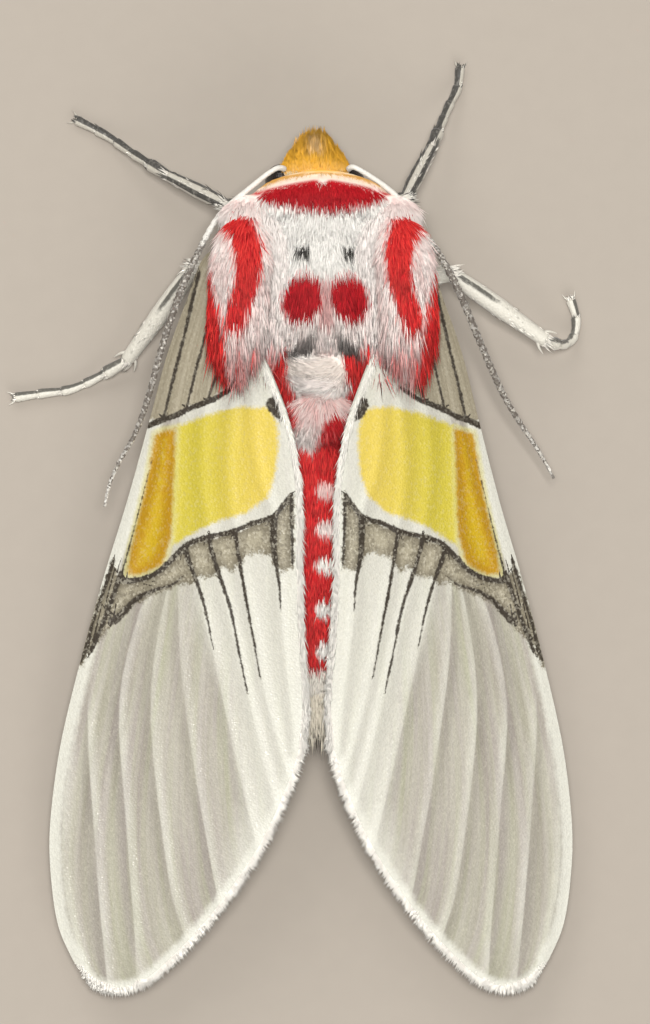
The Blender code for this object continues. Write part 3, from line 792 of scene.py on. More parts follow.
@dataclass(frozen=True)
class PlainScales:
    """Small flat scales of one tint, on hindwings and undersides: satin and off-white."""

    name: str
    tint: str = "#cecbc2"
    vein: str = "#aaa69b"
    grain: float = 0.08

    def material(self) -> bpy.types.Material:
        """Builds the finish, greyer along the veins."""
        made, tree, shader = new_material(
            self.name, Roughness=0.5, Sheen_Weight=0.2, Specular_IOR_Level=0.35, IOR=1.55,
        )
        chances = cells_over(tree, shader, self.grain, 0.3)[1]
        fold = add_node(tree, "Attribute", attribute_name="near")["Fac"]
        row = (fold, 0.03, 0.3, 0.0, 1.0)
        near = add_node(tree, "MapRange", row, interpolation_type="SMOOTHSTEP")[0]
        colour = painted(tree, linear(self.vein), [(linear(self.tint), near)])
        chance = add_node(tree, "SeparateColor", (chances,))[0]
        colour_by(tree, shader, colour, chance, 0.86, 1.05)
        return made


@dataclass(frozen=True)
class CompoundEye:
    """A compound eye: smooth dark cuticle of many lenses, which gloss over like wet glass.

    The lenses are about 0.025 mm across. They are drawn at 0.05 mm, so that they show at all.
    """

    name: str = "compound_eye_cuticle"
    deep: str = "#0c0908"
    glow: str = "#241814"
    lens: float = 0.05

    def material(self) -> bpy.types.Material:
        """Builds the finish, its lenses as a fine bump."""
        made, tree, shader = new_material(
            self.name, Roughness=0.14, Specular_IOR_Level=0.45, IOR=1.5, Coat_Weight=0.2,
            Coat_Roughness=0.08,
        )
        spot = cells_over(tree, shader, self.lens, 0.5, -0.02, 0.25)[0]
        cloud = add_node(tree, "TexNoise", {
            "Vector": spot, "Scale": 1 / (0.5 * METRES), "Detail": 2.0,
        })[0]
        colour = painted(tree, linear(self.deep), [(linear(self.glow), cloud)])
        tree.links.new(colour, shader.inputs["Base Color"])
        return made


@dataclass(frozen=True)
class LimbScales:
    """Close scales on a leg or feeler, which read as a stripe along it with a speckled edge."""

    name: str
    dark: str
    pale: str
    speckle: str = "#efe9da"
    grain: float = 0.06
    ragged: float = 0.16
    glints: float = 0.12

    def material(self) -> bpy.types.Material:
        """Builds the finish from the stripe that each vertex carries."""
        made, tree, shader = new_material(
            self.name, Roughness=0.55, Sheen_Weight=0.2, Specular_IOR_Level=0.4, IOR=1.55,
        )
        stripe = add_node(tree, "Attribute", attribute_name="stripe")["Fac"]
        chances = cells_over(tree, shader, self.grain, 0.5)[1]
        chance = add_node(tree, "SeparateColor", (chances,))
        flip = add_node(tree, "Math", (chance[0], 0.5), operation="SUBTRACT")[0]
        moved = add_node(tree, "Math", (flip, self.ragged, stripe), operation="MULTIPLY_ADD")[0]
        cover = add_node(tree, "MapRange", (moved, 0.25, 0.75, 0.0, 1.0))[0]
        glint = add_node(tree, "MapRange", (chance[1], 0.8, 1.0, 0.0, self.glints))[0]
        colour = painted(tree, linear(self.pale), [
            (linear(self.dark), cover), (linear(self.speckle), glint),
        ])
        tree.links.new(colour, shader.inputs["Base Color"])
        return made


@dataclass(frozen=True)
class ClawChitin:
    """Bare dark chitin of claws and spurs: hard, smooth and brown."""

    name: str = "claw_chitin"
    colour: str = "#33261d"
    worn: str = "#6b4e38"

    def material(self) -> bpy.types.Material:
        """Builds the finish, browner in patches."""
        made, tree, shader = new_material(
            self.name, Roughness=0.3, Specular_IOR_Level=0.5, IOR=1.56,
        )
        spot = add_node(tree, "TexCoord")["Object"]
        cloud = add_node(tree, "TexNoise", {
            "Vector": spot, "Scale": 1 / (0.15 * METRES), "Detail": 3.0,
        })[0]
        colour = painted(tree, linear(self.colour), [(linear(self.worn), cloud)])
        tree.links.new(colour, shader.inputs["Base Color"])
        return made


@dataclass(frozen=True)
class PaperFloor:
    """Matt pale card under the moth, with no pattern of its own."""

    name: str = "pale_card"
    colour: str = "#a1988d"

    def material(self) -> bpy.types.Material:
        """Builds the finish."""
        made, tree, shader = new_material(self.name, Roughness=0.9, Specular_IOR_Level=0.2)
        spot = add_node(tree, "TexCoord")["Object"]
        cloud = add_node(tree, "TexNoise", {
            "Vector": spot, "Scale": 1 / (0.6 * METRES), "Detail": 3.0,
        })[0]
        colour_by(tree, shader, linear(self.colour)[:3], cloud, 0.97, 1.02)
        return made


# Finishing a piece


@dataclass
class Workshop:
    """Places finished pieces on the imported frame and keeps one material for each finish."""

    rig: Rig
    made: dict[str, bpy.types.Material] = field(default_factory=dict)

    def finish_of(self, finish: object) -> bpy.types.Material:
        """The material of a finish, built the first time it is asked for."""
        if finish.name not in self.made:
            self.made[finish.name] = finish.material()
        return self.made[finish.name]

    def hand_over(self, obj: bpy.types.Object, slot: Slot, finishes: list, nodes: list[str]) -> None:
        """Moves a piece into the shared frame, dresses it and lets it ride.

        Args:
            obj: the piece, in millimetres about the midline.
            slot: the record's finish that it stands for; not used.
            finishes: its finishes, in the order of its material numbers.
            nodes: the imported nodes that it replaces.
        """
        set_places(obj.data, self.rig.world(places_of(obj.data)))
        obj.data.materials.clear()
        for finish in finishes:
            obj.data.materials.append(self.finish_of(finish))
        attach(obj, BODY)
        if nodes:
            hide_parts(*nodes)
        LOG.info("%s: %d faces", obj.name, len(obj.data.polygons))


# Hair


def plain_marks(count: int, **known: float | Array) -> dict[str, Array]:
    """The coat's marks where most of them are missing.

    Args:
        count: how many places there are.
        known: by mark, its value or values there. The colours that aren't named are 0.

    Returns:
        The values of each mark.
    """
    marks = dict.fromkeys(("red", "black", "orange", "cream"), 0.0) | known
    return {name: np.zeros(count) + value for name, value in marks.items()}


def above(low: float, high: float) -> Callable[[Array], Array]:
    """A density that grows with height, from none at low to full at high."""
    return lambda places: soft_step(low, high, places[:, 2])


def even(value: float) -> Callable[[Array], Array]:
    """One value for all places."""
    return lambda places: np.full(len(places), value)


def straight(direction: Array) -> Lie:
    """The lie of hair that points one way all over."""
    return lambda roots, normals: np.tile(direction, (len(roots), 1))


@dataclass
class Pelt:
    """Many tufts of hair-like scales, each a tapering three-sided blade that bends over.

    Each array has one row or value for each tuft. Lengths are in millimetres.
    """

    roots: Array
    normals: Array
    lies: Array
    lengths: Array
    widths: Array
    lifts: Array
    spots: Array
    marks: dict[str, Array]
    seed: int = 1

    STATIONS = (0.0, 0.55)
    WIDE = (0.85, 1.0)
    SINK = 0.05
    RIDGE = 0.7
    ROLL = 0.16
    SWAY = 0.07
    BEND = 2.2
    SOFTNESS = 0.22
    PATCH = 0.003

    def build(self, name: str) -> bpy.types.Object:
        """Makes the tufts one mesh, with their marks and the map that bakes are made through."""
        draw = np.random.default_rng(self.seed)
        count = len(self.roots)
        against = np.minimum(np.sum(self.lies * self.normals, -1, keepdims=True), 0)
        lies = unit(self.lies - self.normals * against * 1.02 - UP * against * 0.3)
        side = unit(np.cross(lies, self.normals + UP * 0.6))
        top = np.cross(side, lies)
        roll = draw.normal(0, self.ROLL, (count, 1))
        cos, sin = np.cos(roll), np.sin(roll)
        side, up = side * cos + top * sin, top * cos - side * sin
        sway = side * draw.normal(0, self.SWAY, (count, 1))
        upward = 1.2 * soft_step(-0.9, -0.2, self.normals[:, 2])[:, None]
        lit = unit(self.normals - lies * np.sum(self.normals * lies, -1, keepdims=True) + UP * upward)
        length, lift = self.lengths[:, None], self.lifts[:, None]
        start = self.roots - self.normals * self.SINK

        def middle(t: float) -> Array:
            """The tufts' middles at a share of their length: up first, then over along the lie."""
            rise = lift * (1 - (1 - t) ** self.BEND) * length
            return start + lies * (length * t) + self.normals * rise + sway * (length * t * t)

        rings, facing = [], []
        for t, wide in zip(self.STATIONS, self.WIDE):
            half = (self.widths / 2 * wide)[:, None]
            centre = middle(t)
            rings += [centre - side * half, centre + up * half * self.RIDGE, centre + side * half]
            facing += [lit - side * self.SOFTNESS, lit, lit + side * self.SOFTNESS]
        places = np.stack(rings + [middle(1.0)], 1)
        facing = unit(np.stack(facing + [lit], 1))
        faces = [(2, 1, 0)]
        for ring in range(len(self.STATIONS) - 1):
            for k in range(3):
                a, b = 3 * ring + k, 3 * ring + (k + 1) % 3
                faces += [(a, b, b + 3), (a, b + 3, a + 3)]
        last = 3 * (len(self.STATIONS) - 1)
        faces += [(last + k, last + (k + 1) % 3, last + 3) for k in range(3)]
        size = last + 4
        template = np.array(faces)
        numbers = template[None] + np.arange(count)[:, None, None] * size
        obj = mesh_piece(name, places.reshape(-1, 3), numbers.reshape(-1, 3))
        set_directions(obj.data, "facing", facing)
        along = np.repeat(self.STATIONS + (1.0,), (3,) * len(self.STATIONS) + (1,))
        marks = {key: np.repeat(value, size) for key, value in self.marks.items()}
        marks["along"] = np.tile(along, count)
        set_numbers(obj.data, marks)
        patch = np.stack([
            np.array((-1, 0, 1) * len(self.STATIONS) + (0,)) * 0.5,
            along - 0.5 + np.array((0, 0.12, 0) * len(self.STATIONS) + (0,)),
        ], -1) * self.PATCH
        spots = np.clip(self.spots, self.PATCH, 1 - self.PATCH)[:, None] + patch[None]
        set_map(obj.data, "OFBake", spots.reshape(-1, 2))
        return obj


@dataclass
class Region:
    """Where hair roots on a form, and how it grows there. Lengths are in millimetres.

    A tuft takes the coat's marks at the share "read" of its length.
    """

    form: Form
    count: int
    density: Callable[[Array], Array]
    lie: Lie
    length: Callable[[Array], Array]
    width: float = 0.045
    lift: float = 0.25
    variation: float = 0.25
    read: float = 0.5

    def roots(self, draw: np.random.Generator) -> tuple[Array, Array, Array]:
        """Draws roots evenly over the form where the density lets them.

        Args:
            draw: the source of chance.

        Returns:
            The roots, the outward directions there, and their shares down and across.
        """
        spots = np.empty((0, 2))
        probe = draw.random((4000, 2))
        most = float(np.quantile(self.form.area(probe[:, 0], probe[:, 1]), 0.99))
        while len(spots) < self.count:
            tried = draw.random((self.count * 3, 2))
            tried[:, 0] = 0.004 + 0.992 * tried[:, 0]
            weight = self.form.area(tried[:, 0], tried[:, 1]) / most
            weight = weight * self.density(self.form.shape(tried[:, 0], tried[:, 1]))
            spots = np.concatenate([spots, tried[draw.random(len(tried)) < weight]])
        spots = spots[:self.count]
        down, across = spots[:, 0], spots[:, 1]
        return self.form.shape(down, across), self.form.normals(down, across), spots

    def pelt(self, seed: int, marks_at: Callable[[Array], dict[str, Array]]) -> Pelt:
        """Grows the hair of this region.

        Args:
            seed: starts the source of chance.
            marks_at: gives the coat's marks at places.

        Returns:
            The hair.
        """
        draw = np.random.default_rng(seed)
        roots, normals, spots = self.roots(draw)
        lies = self.lie(roots, normals) + draw.normal(0, 0.045, roots.shape)
        vary = draw.normal(1, self.variation, self.count).clip(0.45, 1.6)
        against = -np.sum(unit(lies) * normals, -1)
        lengths = self.length(roots) * vary * (1 - 0.6 * soft_step(0.6, 0.95, against))
        seen = roots + unit(lies) * (lengths * self.read)[:, None]
        marks = marks_at(seen + draw.normal(0, 0.03, seen.shape))
        marks["shade"] = draw.random(self.count)
        marks.setdefault("deep", np.zeros(self.count))
        low, high = spots.min(0), spots.max(0)
        return Pelt(
            roots, normals, lies, lengths, self.width * draw.uniform(0.75, 1.25, self.count),
            self.lift * draw.uniform(0.5, 1.5, self.count),
            (spots - low) / np.maximum(high - low, 1e-6), marks, seed,
        )


def merge_pelts(pelts: list[Pelt], seed: int) -> Pelt:
    """One pelt of several, whose maps share the square between them side by side."""
    shares = len(pelts)
    spots = [
        np.column_stack([(p.spots[:, 0] * 0.96 + 0.02 + k) / shares, p.spots[:, 1]])
        for k, p in enumerate(pelts)
    ]
    names = ("roots", "normals", "lies", "lengths", "widths", "lifts")
    joined = {name: np.concatenate([getattr(p, name) for p in pelts]) for name in names}
    marks = {key: np.concatenate([p.marks[key] for p in pelts]) for key in pelts[0].marks}
    return Pelt(**joined, spots=np.concatenate(spots), marks=marks, seed=seed)


# The moth's markings, seen from above


def wisps(places: Array) -> Array:
    """A value from 0 to 1 that changes from one lock of hair to the next, in wavering rows."""
    x, y = places[:, 0], places[:, 1]
    return 0.5 + 0.5 * np.sin(23 * x + 2.2 * np.sin(1.9 * y)) * np.sin(8.3 * x - 2.3 * y + 1)


def follow(lies: Array, normals: Array) -> Array:
    """Bends the lie of hair down where the body falls away under it."""
    away = np.maximum(np.sum(lies * normals, -1, keepdims=True), 0)
    return lies - 0.65 * normals * away


@dataclass(frozen=True)
class Markings:
    """Which colours the coat has where, in millimetres about the midline."""

    edge: float = 0.07
    lean: float = -0.12
    disc_shift: float = 0.09
    hook: tuple = (
        (2.92, -8.28), (2.5, -8.25), (2.14, -8.0), (1.98, -7.4), (2.02, -6.75), (2.22, -6.1),
        (2.36, -5.65),
    )
    flank: tuple = (
        (2.98, -7.2), (3.02, -6.2), (2.95, -5.3), (2.95, -4.4), (2.85, -3.4),
    )
    flank_width: tuple = ((0.0, 0.08), (0.3, 0.19), (0.6, 0.38), (1.0, 0.56))
    rump_right: tuple = ((-0.4, -4.72), (-1.1, -4.85), (-1.2, -4.0), (-0.62, -3.98))
    rump_left: tuple = ((1.2, -4.45), (1.6, -4.3), (1.2, -2.9), (0.78, -2.8), (0.86, -3.6))
    tail_dots: tuple = (-1.05, -0.04, 0.95, 2.13, 3.24)

    def body(self, places: Array) -> dict[str, Array]:
        """The marks of head, collar, thorax and abdomen at places."""
        y, z = places[:, 1], places[:, 2]
        x = places[:, 0] - self.lean * soft_step(-9.9, -9.4, y)
        x = x + self.disc_shift * soft_step(-8.3, -7.9, y) * soft_step(-4.1, -4.5, y)
        wide = np.abs(x)
        edge = self.edge
        # Collar: a crimson crescent, edged in front with cream and ochre.
        front = -9.38 + 0.16 * wide ** 1.25 + 0.12 * soft_step(0.22, 0.0, wide)
        rear = -8.73 - 0.07 * wide**2
        high = soft_step(3.25, 3.6, z)
        red = np.minimum(soft_step(-edge, edge, y - front), soft_step(edge, -edge, y - rear))
        red = red * high * soft_step(2.35, 2.1, wide)
        # Disc: two crimson spots, pink between them.
        spot = 1 - np.hypot((wide - 0.64) / 0.57, (y + 6.22 - 0.18 * (wide - 0.64)) / 0.72)
        corner = 1 - np.hypot((wide - 0.42) / 0.32, (y + 6.42) / 0.5)
        spot = np.maximum(spot, corner) - 0.3 * soft_step(-6.05, -5.6, y) * wisps(places)
        red = np.maximum(red, soft_step(-0.12, 0.16, spot) * high)
        blush = soft_step(1.5, 0.8, wide) * soft_step(1.35, 0.75, np.abs(y + 5.75))
        blush = np.maximum(blush * (0.12 + 0.12 * wisps(places)), 0.6 * soft_step(0.3, 0.1, wide)
                           * soft_step(0.9, 0.5, np.abs(y + 6.1)))
        red = np.maximum(red, blush * high)
        black = soft_step(-0.25, 0.35, 1 - np.hypot((wide - 0.57) / 0.19, (y + 7.5) / 0.2))
        rear_spot = 1 - np.hypot((wide - 0.64) / 0.43, (y + 4.9 - 0.7 * (wide - 0.64)) / 0.32)
        black = np.maximum(black, 0.85 * soft_step(-0.2, 0.35, rear_spot)) * high
        # Rear of the thorax: crimson tufts beside a white middle, then pink fluff.
        rear_red = depth_inside(
            np.column_stack([wide, y]), ((0.95, -5.0), (1.7, -4.6), (1.75, -3.9), (1.3, -3.0),
                                         (0.62, -2.6), (0.6, -3.6), (0.95, -4.3)),
        )
        red = np.maximum(red, soft_step(-0.08, 0.12, rear_red))
        flat = np.column_stack([x, y])
        for corners in (self.rump_right, self.rump_left):
            red = np.maximum(red, soft_step(-0.06, 0.1, depth_inside(flat, corners)))
        heart = soft_step(-0.6, 0.5, 1 - np.hypot(x / 0.28, (y + 4.75) / 0.18))
        fluff = soft_step(-3.72, -3.5, y) * soft_step(-2.6, -2.9, y)
        pink = np.maximum(0.3 * heart, fluff * (0.24 + 0.28 * wisps(places)))
        pink = np.maximum(pink, 0.1 * soft_step(-4.7, -4.5, y) * soft_step(-3.6, -3.8, y))
        red = np.maximum(red, pink)
        wedge = depth_inside(
            flat, ((0.0, -2.95), (-0.3, -3.15), (-0.7, -3.0), (-0.75, -2.5), (0.1, -2.5)),
        )
        red = np.maximum(red, soft_step(-0.05, 0.1, wedge))
        fold = soft_step(-4.6, -4.45, y) * soft_step(-3.9, -4.15, y)
        # Painted shade: dark lines along the creases between the rear lobes, where shade falls.
        crease = np.minimum(np.abs(y + 4.1 - 0.3 * x**2), np.abs(y + 3.72 - 0.35 * x**2))
        black = np.maximum(black, 0.26 * soft_step(0.06, 0.02, crease) * soft_step(0.7, 0.45, wide))
        # Abdomen: crimson above with white dots down its middle, pale below and at its end.
        back = soft_step(-2.85, -2.5, y) * soft_step(3.95, 3.72, y) * soft_step(1.95, 2.5, z)
        dots = np.zeros(len(x))
        for k, place in enumerate(self.tail_dots):
            strength = min(1.0, 0.6 + 0.25 * k)
            dot = 1 - np.hypot((x + 0.12) / 0.26, (y - place) / 0.22)
            dots = np.maximum(dots, strength * soft_step(-0.2, 0.25, dot))
        wisp = soft_step(-0.1, 0.15, depth_inside(
            places, ((0.7, -2.9), (0.75, -2.4), (0.1, -2.05), (-0.1, -2.6)),
        ))
        red = np.maximum(red, back * (1 - np.maximum(dots, 0.85 * wisp)))
        cream = np.maximum(soft_step(3.7, 4.0, y) * 0.3 + soft_step(4.4, 4.5, y) * 0.3, 0.2 * fold)
        # Head: orange in front, ochre and cream where it meets the collar.
        orange = soft_step(-9.5, -9.62, y) * soft_step(1.35, 1.1, wide)
        # glow: a painted highlight along the top of the tuft, and a real paler band at its back edge.
        glow = soft_step(0.35, 0.1, np.abs(places[:, 0] - 0.03)) * soft_step(-9.9, -10.1, y)
        glow = glow * soft_step(-10.55, -10.3, y)
        glow = 0.55 * np.maximum(glow, 0.5 * soft_step(0.95, 0.5, wide) * soft_step(-9.85, -9.65, y))
        line = y - (-9.53 + 0.11 * wide**2)
        ochre = soft_step(0.03, -0.015, np.abs(line) - 0.01 - 0.035 * wide)
        ochre = ochre * soft_step(2.1, 1.85, wide) * high
        rim = soft_step(0.28, 0.12, np.abs(line)) * high * soft_step(2.1, 1.8, wide)
        pale_rim = rim * soft_step(0.2, -0.1, line) + 0.55 * rim * soft_step(-0.1, 0.2, line)
        cream = np.maximum(cream, pale_rim)
        red = np.maximum(red, 0.24 * rim * soft_step(0.0, 0.1, line) * soft_step(0.4, 0.2, red))
        # The painted highlight turns the orange paler and a little cream.
        orange = orange * soft_step(1.6, 2.3, z) * (1 - glow * (0.2 + 0.35 * wisps(places)))
        cream = np.maximum(cream, 0.1 * glow)
        orange = np.maximum(orange, ochre * 0.85)
        black = np.maximum(black, 0.42 * ochre)
        red = red * (1 - orange)
        deep = 0.75 * soft_step(-4.9, -5.3, y)
        deep = np.maximum(deep, 0.5 * soft_step(-2.0, -2.5, y) * soft_step(-3.2, -2.9, y))
        return {"red": red, "black": black, "orange": orange, "cream": cream, "deep": deep}

    def saddle(self, places: Array) -> dict[str, Array]:
        """The marks of the long white hair beside the disc, which has crimson tips."""
        y = places[:, 1]
        wide = np.abs(places[:, 0] - self.lean)
        marks = self.body(np.column_stack([places[:, :2], np.full(len(y), 4.5)]))
        streaks = wisps(places)
        tips = soft_step(-5.4, -4.6, y) * soft_step(0.85, 1.1, wide) * (0.4 + 0.6 * streaks)
        pink = 0.2 * soft_step(-7.0, -6.0, y) * (1 - wide / 4) * streaks
        pink = 0.1 + 0.22 * soft_step(-8.3, -8.8, y) + pink
        shown = np.maximum(soft_step(1.35, 1.25, wide), soft_step(-8.6, -8.75, y))
        marks["red"] = np.maximum(marks["red"] * shown, np.maximum(tips, pink))
        marks["orange"] = marks["cream"] = np.zeros(len(y))
        return marks

    def shoulder(self, places: Array) -> dict[str, Array]:
        """The marks of the shoulder plates: a crimson hook inside and a crimson flank outside."""
        flat = np.column_stack([np.abs(places[:, 0] - self.lean), places[:, 1]])
        gap = to_line(flat, self.hook)[0]
        red = soft_step(0.38, 0.24, gap)
        gap, share, _ = to_line(flat, self.flank)
        half = np.interp(share, *np.array(self.flank_width).T)
        red = np.maximum(red, soft_step(0.1, -0.06, gap - half))
        streaks = wisps(places)
        red = np.maximum(red, soft_step(-5.6, -4.6, places[:, 1]) * (0.3 + 0.65 * streaks))
        red = np.maximum(red, 0.1 + 0.26 * streaks)
        return plain_marks(len(red), red=red)


# The body


@dataclass
class Body:
    """Head, collar, thorax, shoulder plates and abdomen: one skin under a coat of hair."""

    shop: Workshop
    markings: Markings
    shrink: float = 0.12
    voxel: float = 0.08
    thorax_sections: tuple = (
        (-8.9, 3.3, 0.9, 0.7, 0.9), (-8.4, 3.2, 1.45, 1.2, 1.5), (-7.4, 3.1, 1.8, 1.65, 2.0),
        (-6.2, 3.0, 1.95, 1.85, 2.1), (-5.0, 3.0, 1.85, 1.6, 1.9), (-4.0, 2.9, 1.6, 1.25, 1.7),
        (-3.3, 2.8, 1.3, 1.0, 1.4),
    )
    abdomen_sections: tuple = (
        (-3.8, 2.7, 1.1, 1.0, 1.3), (-3.0, 2.65, 1.25, 1.1, 1.35), (-2.2, 2.5, 1.5, 1.4, 1.6),
        (-0.5, 2.4, 1.65, 1.55, 1.65), (1.2, 2.3, 1.6, 1.5, 1.55), (2.8, 2.2, 1.4, 1.35, 1.35),
        (4.2, 2.15, 1.05, 1.1, 1.05), (5.0, 2.2, 0.6, 0.7, 0.6),
    )
    segments: int = 7
    lit_above: float = 0.9
    head_centre: tuple = (0.0, -9.65, 3.05)
    head_radii: tuple = (0.91, 0.62, 1.02)
    head_apex: tuple = (0.0, -10.9, 1.6)
    neck_sections: tuple = (
        (-9.7, 3.1, 0.75, 0.75, 0.75), (-9.0, 3.3, 0.85, 0.8, 0.9), (-8.2, 3.2, 1.2, 1.0, 1.2),
    )
    collar_line: tuple = (
        (-1.95, -8.5, 3.85), (-1.3, -8.9, 4.35), (0.0, -9.05, 4.6), (1.3, -8.9, 4.35),
        (1.95, -8.5, 3.85),
    )
    collar_radii: tuple = (0.25, 0.38, 0.42, 0.38, 0.25)
    ruff_line: tuple = (
        (-1.85, -8.8, 3.75), (-1.25, -9.22, 4.1), (0.0, -9.42, 4.3), (1.25, -9.22, 4.1),
        (1.85, -8.8, 3.75),
    )
    tegula_sections: tuple = (
        (-8.55, 1.95, 4.25, 0.25, 0.2), (-8.1, 2.1, 4.45, 0.6, 0.38), (-7.3, 2.2, 4.72, 0.85, 0.5),
        (-6.2, 2.3, 4.75, 0.85, 0.5), (-5.4, 2.35, 4.68, 0.62, 0.38), (-4.9, 2.4, 4.6, 0.3, 0.22),
    )
    tegula_tilt: float = math.radians(28)
    lobe_balls: tuple = (
        (-4.3, 4.08, (0.72, 0.38, 0.44)), (-3.84, 4.0, (0.58, 0.32, 0.44)),
        (-3.15, 3.8, (0.7, 0.55, 0.5)),
    )

    def __post_init__(self) -> None:
        """Prepares the forms that the skin is modelled from."""
        lean = (self.markings.lean, 0.0, 0.0)
        self.thorax = Form(moved(body_shape(Table(self.thorax_sections), -self.shrink), lean))
        self.abdomen = Form(self.abdomen_shape)
        self.head = Form(ball_shape(self.head_centre, self.head_radii))
        line = Line(self.collar_line)
        shares = np.linspace(0, 1, len(self.collar_radii))
        self.collar = Form(moved(rod_shape(
            line, lambda s: np.interp(s, shares, self.collar_radii) - self.shrink, cap=0.12,
        ), lean))
        ruff = Line(self.ruff_line)
        self.ruff = Form(moved(rod_shape(
            ruff, lambda s: np.interp(s, (0, 0.5, 1), (0.14, 0.24, 0.14)), cap=0.1,
        ), lean))
        self.tegulae = {side: Form(moved(self.tegula_shape(side), lean)) for side in Side}
        self.saddles = {
            side: Form(ball_shape((1.5 * side.value + lean[0], -6.7, 4.15), (0.72, 2.0, 0.6)))
            for side in Side
        }
        self.shoulders = {
            side: Form(ball_shape((1.95 * side.value + lean[0], -8.4, 3.9), (0.72, 0.58, 0.62)))
            for side in Side
        }
        self.lobes = [
            Form(ball_shape((lean[0], place, height), radii)) for place, height, radii in self.lobe_balls
        ]
        self.neck = Form(body_shape(Table(self.neck_sections), 0.0))
        self.nape = Form(ball_shape((lean[0], -8.2, 4.0), (1.45, 0.85, 0.7)))

    def abdomen_shape(self, down: Array, across: Array) -> Array:
        """The tapering abdomen, each segment a little wider at its hind edge."""
        table = Table(self.abdomen_sections)
        places = body_shape(table, -0.06, cap=0.06)(down, across)
        share = np.clip((places[:, 1] + 3.0) / (table.last + 3.0), 0, 0.999) * self.segments
        step = 0.07 * (share - np.floor(share)) ** 0.7 * (share > 0)
        height = table.at(places[:, 1])[0]
        middle = np.column_stack([np.zeros(len(places)), places[:, 1], height])
        return places + unit(places - middle) * step[:, None]

    def tegula_shape(self, side: Side) -> Shape:
        """The plate over a wing root, tilted down outwards."""
        table = Table(self.tegula_sections)
        sign = side.value
        outwards = np.array((math.cos(self.tegula_tilt) * sign, 0, -math.sin(self.tegula_tilt)))
        lift = np.array((math.sin(self.tegula_tilt) * sign, 0, math.cos(self.tegula_tilt)))

        def shape(down: Array, across: Array) -> Array:
            """Places on the plate, whose first column is underneath."""
            share, end = rounded(np.clip(down, 0, 1), 0.1)
            station = table.first + share * (table.last - table.first)
            place, height, half_width, half_thickness = table.at(station)
            angle = (2 * np.pi * across - np.pi / 2) * sign
            centre = np.stack([place * sign, station, height], -1)
            wide = ((half_width - 0.08) * end * np.cos(angle))[..., None]
            tall = ((half_thickness - 0.08) * end * np.sin(angle))[..., None]
            return centre + outwards * wide * sign + lift * tall * sign
        return shape

    def skin(self) -> bpy.types.Object:
        """Fuses the forms into one smooth skin with the coat's markings."""
        parts = [
            self.thorax.grid("thorax_form", 90, 80), self.abdomen.grid("abdomen_form", 120, 80),
            self.head.grid("head_form", 48, 64), self.collar.grid("collar_form", 60, 32),
            self.neck.grid("neck_form", 30, 40), self.ruff.grid("ruff_form", 40, 24),
            self.nape.grid("nape_form", 30, 40),
        ] + [lobe.grid("lobe_form", 30, 40) for lobe in self.lobes]
        for side in Side:
            sign = side.value
            parts.append(self.tegulae[side].grid("tegula_form", 60, 40))
            hinge = Form(ball_shape((1.75 * sign, -6.6, 4.05), (0.55, 1.35, 0.55)))
            parts.append(hinge.grid("hinge_form", 24, 24))
            parts.append(self.saddles[side].grid("saddle_form", 50, 40))
            parts.append(self.shoulders[side].grid("shoulder_form", 30, 30))
        skin = join("body_skin", parts)
        apply_modifier(skin, "REMESH", mode="VOXEL", voxel_size=self.voxel, use_smooth_shade=True)
        apply_modifier(skin, "SMOOTH", factor=0.5, iterations=5)
        places = places_of(skin.data)
        marks = self.markings.body(places)
        plate = self.markings.shoulder(places)
        on_plate = soft_step(1.35, 1.6, np.abs(places[:, 0])) * soft_step(4.1, 4.3, places[:, 2])
        for key in plate:
            marks[key] = marks[key] * (1 - on_plate) + plate[key] * on_plate
        marks["shade"] = np.full(len(places), 0.3)
        marks["along"] = np.full(len(places), 0.15)
        marks["deep"] = marks["deep"] * (1 - on_plate)
        set_numbers(skin.data, marks)
        set_directions(skin.data, "facing", unit(rows_of(skin.data, "normal") + UP * self.lit_above))
        self.shop.hand_over(skin, Slot.WHITE, [HairScales("scaled_cuticle", roughness=0.8)], [
            "head", "collar", "thorax", "tegula_left", "tegula_right", "abdomen",
        ])
        return skin

    def coat(self) -> None:
        """Grows the coat, one piece for each part of the body."""
        marks = self.markings
        hair = HairScales("hair_scales")
        upper, backwards = above(3.2, 3.9), straight(BACKWARDS)

        def back(p: Array) -> Array:
            """1 on the abdomen's upper side, 0 below and beside it."""
            return soft_step(1.25, 0.9, np.abs(p[:, 0])) * soft_step(2.6, 3.0, p[:, 2])

        def beside(near: float, far: float, p: Array) -> Array:
            """1 away from the midline, from far on, and 0 nearer to it than near."""
            return soft_step(near, far, np.abs(p[:, 0] - marks.lean))

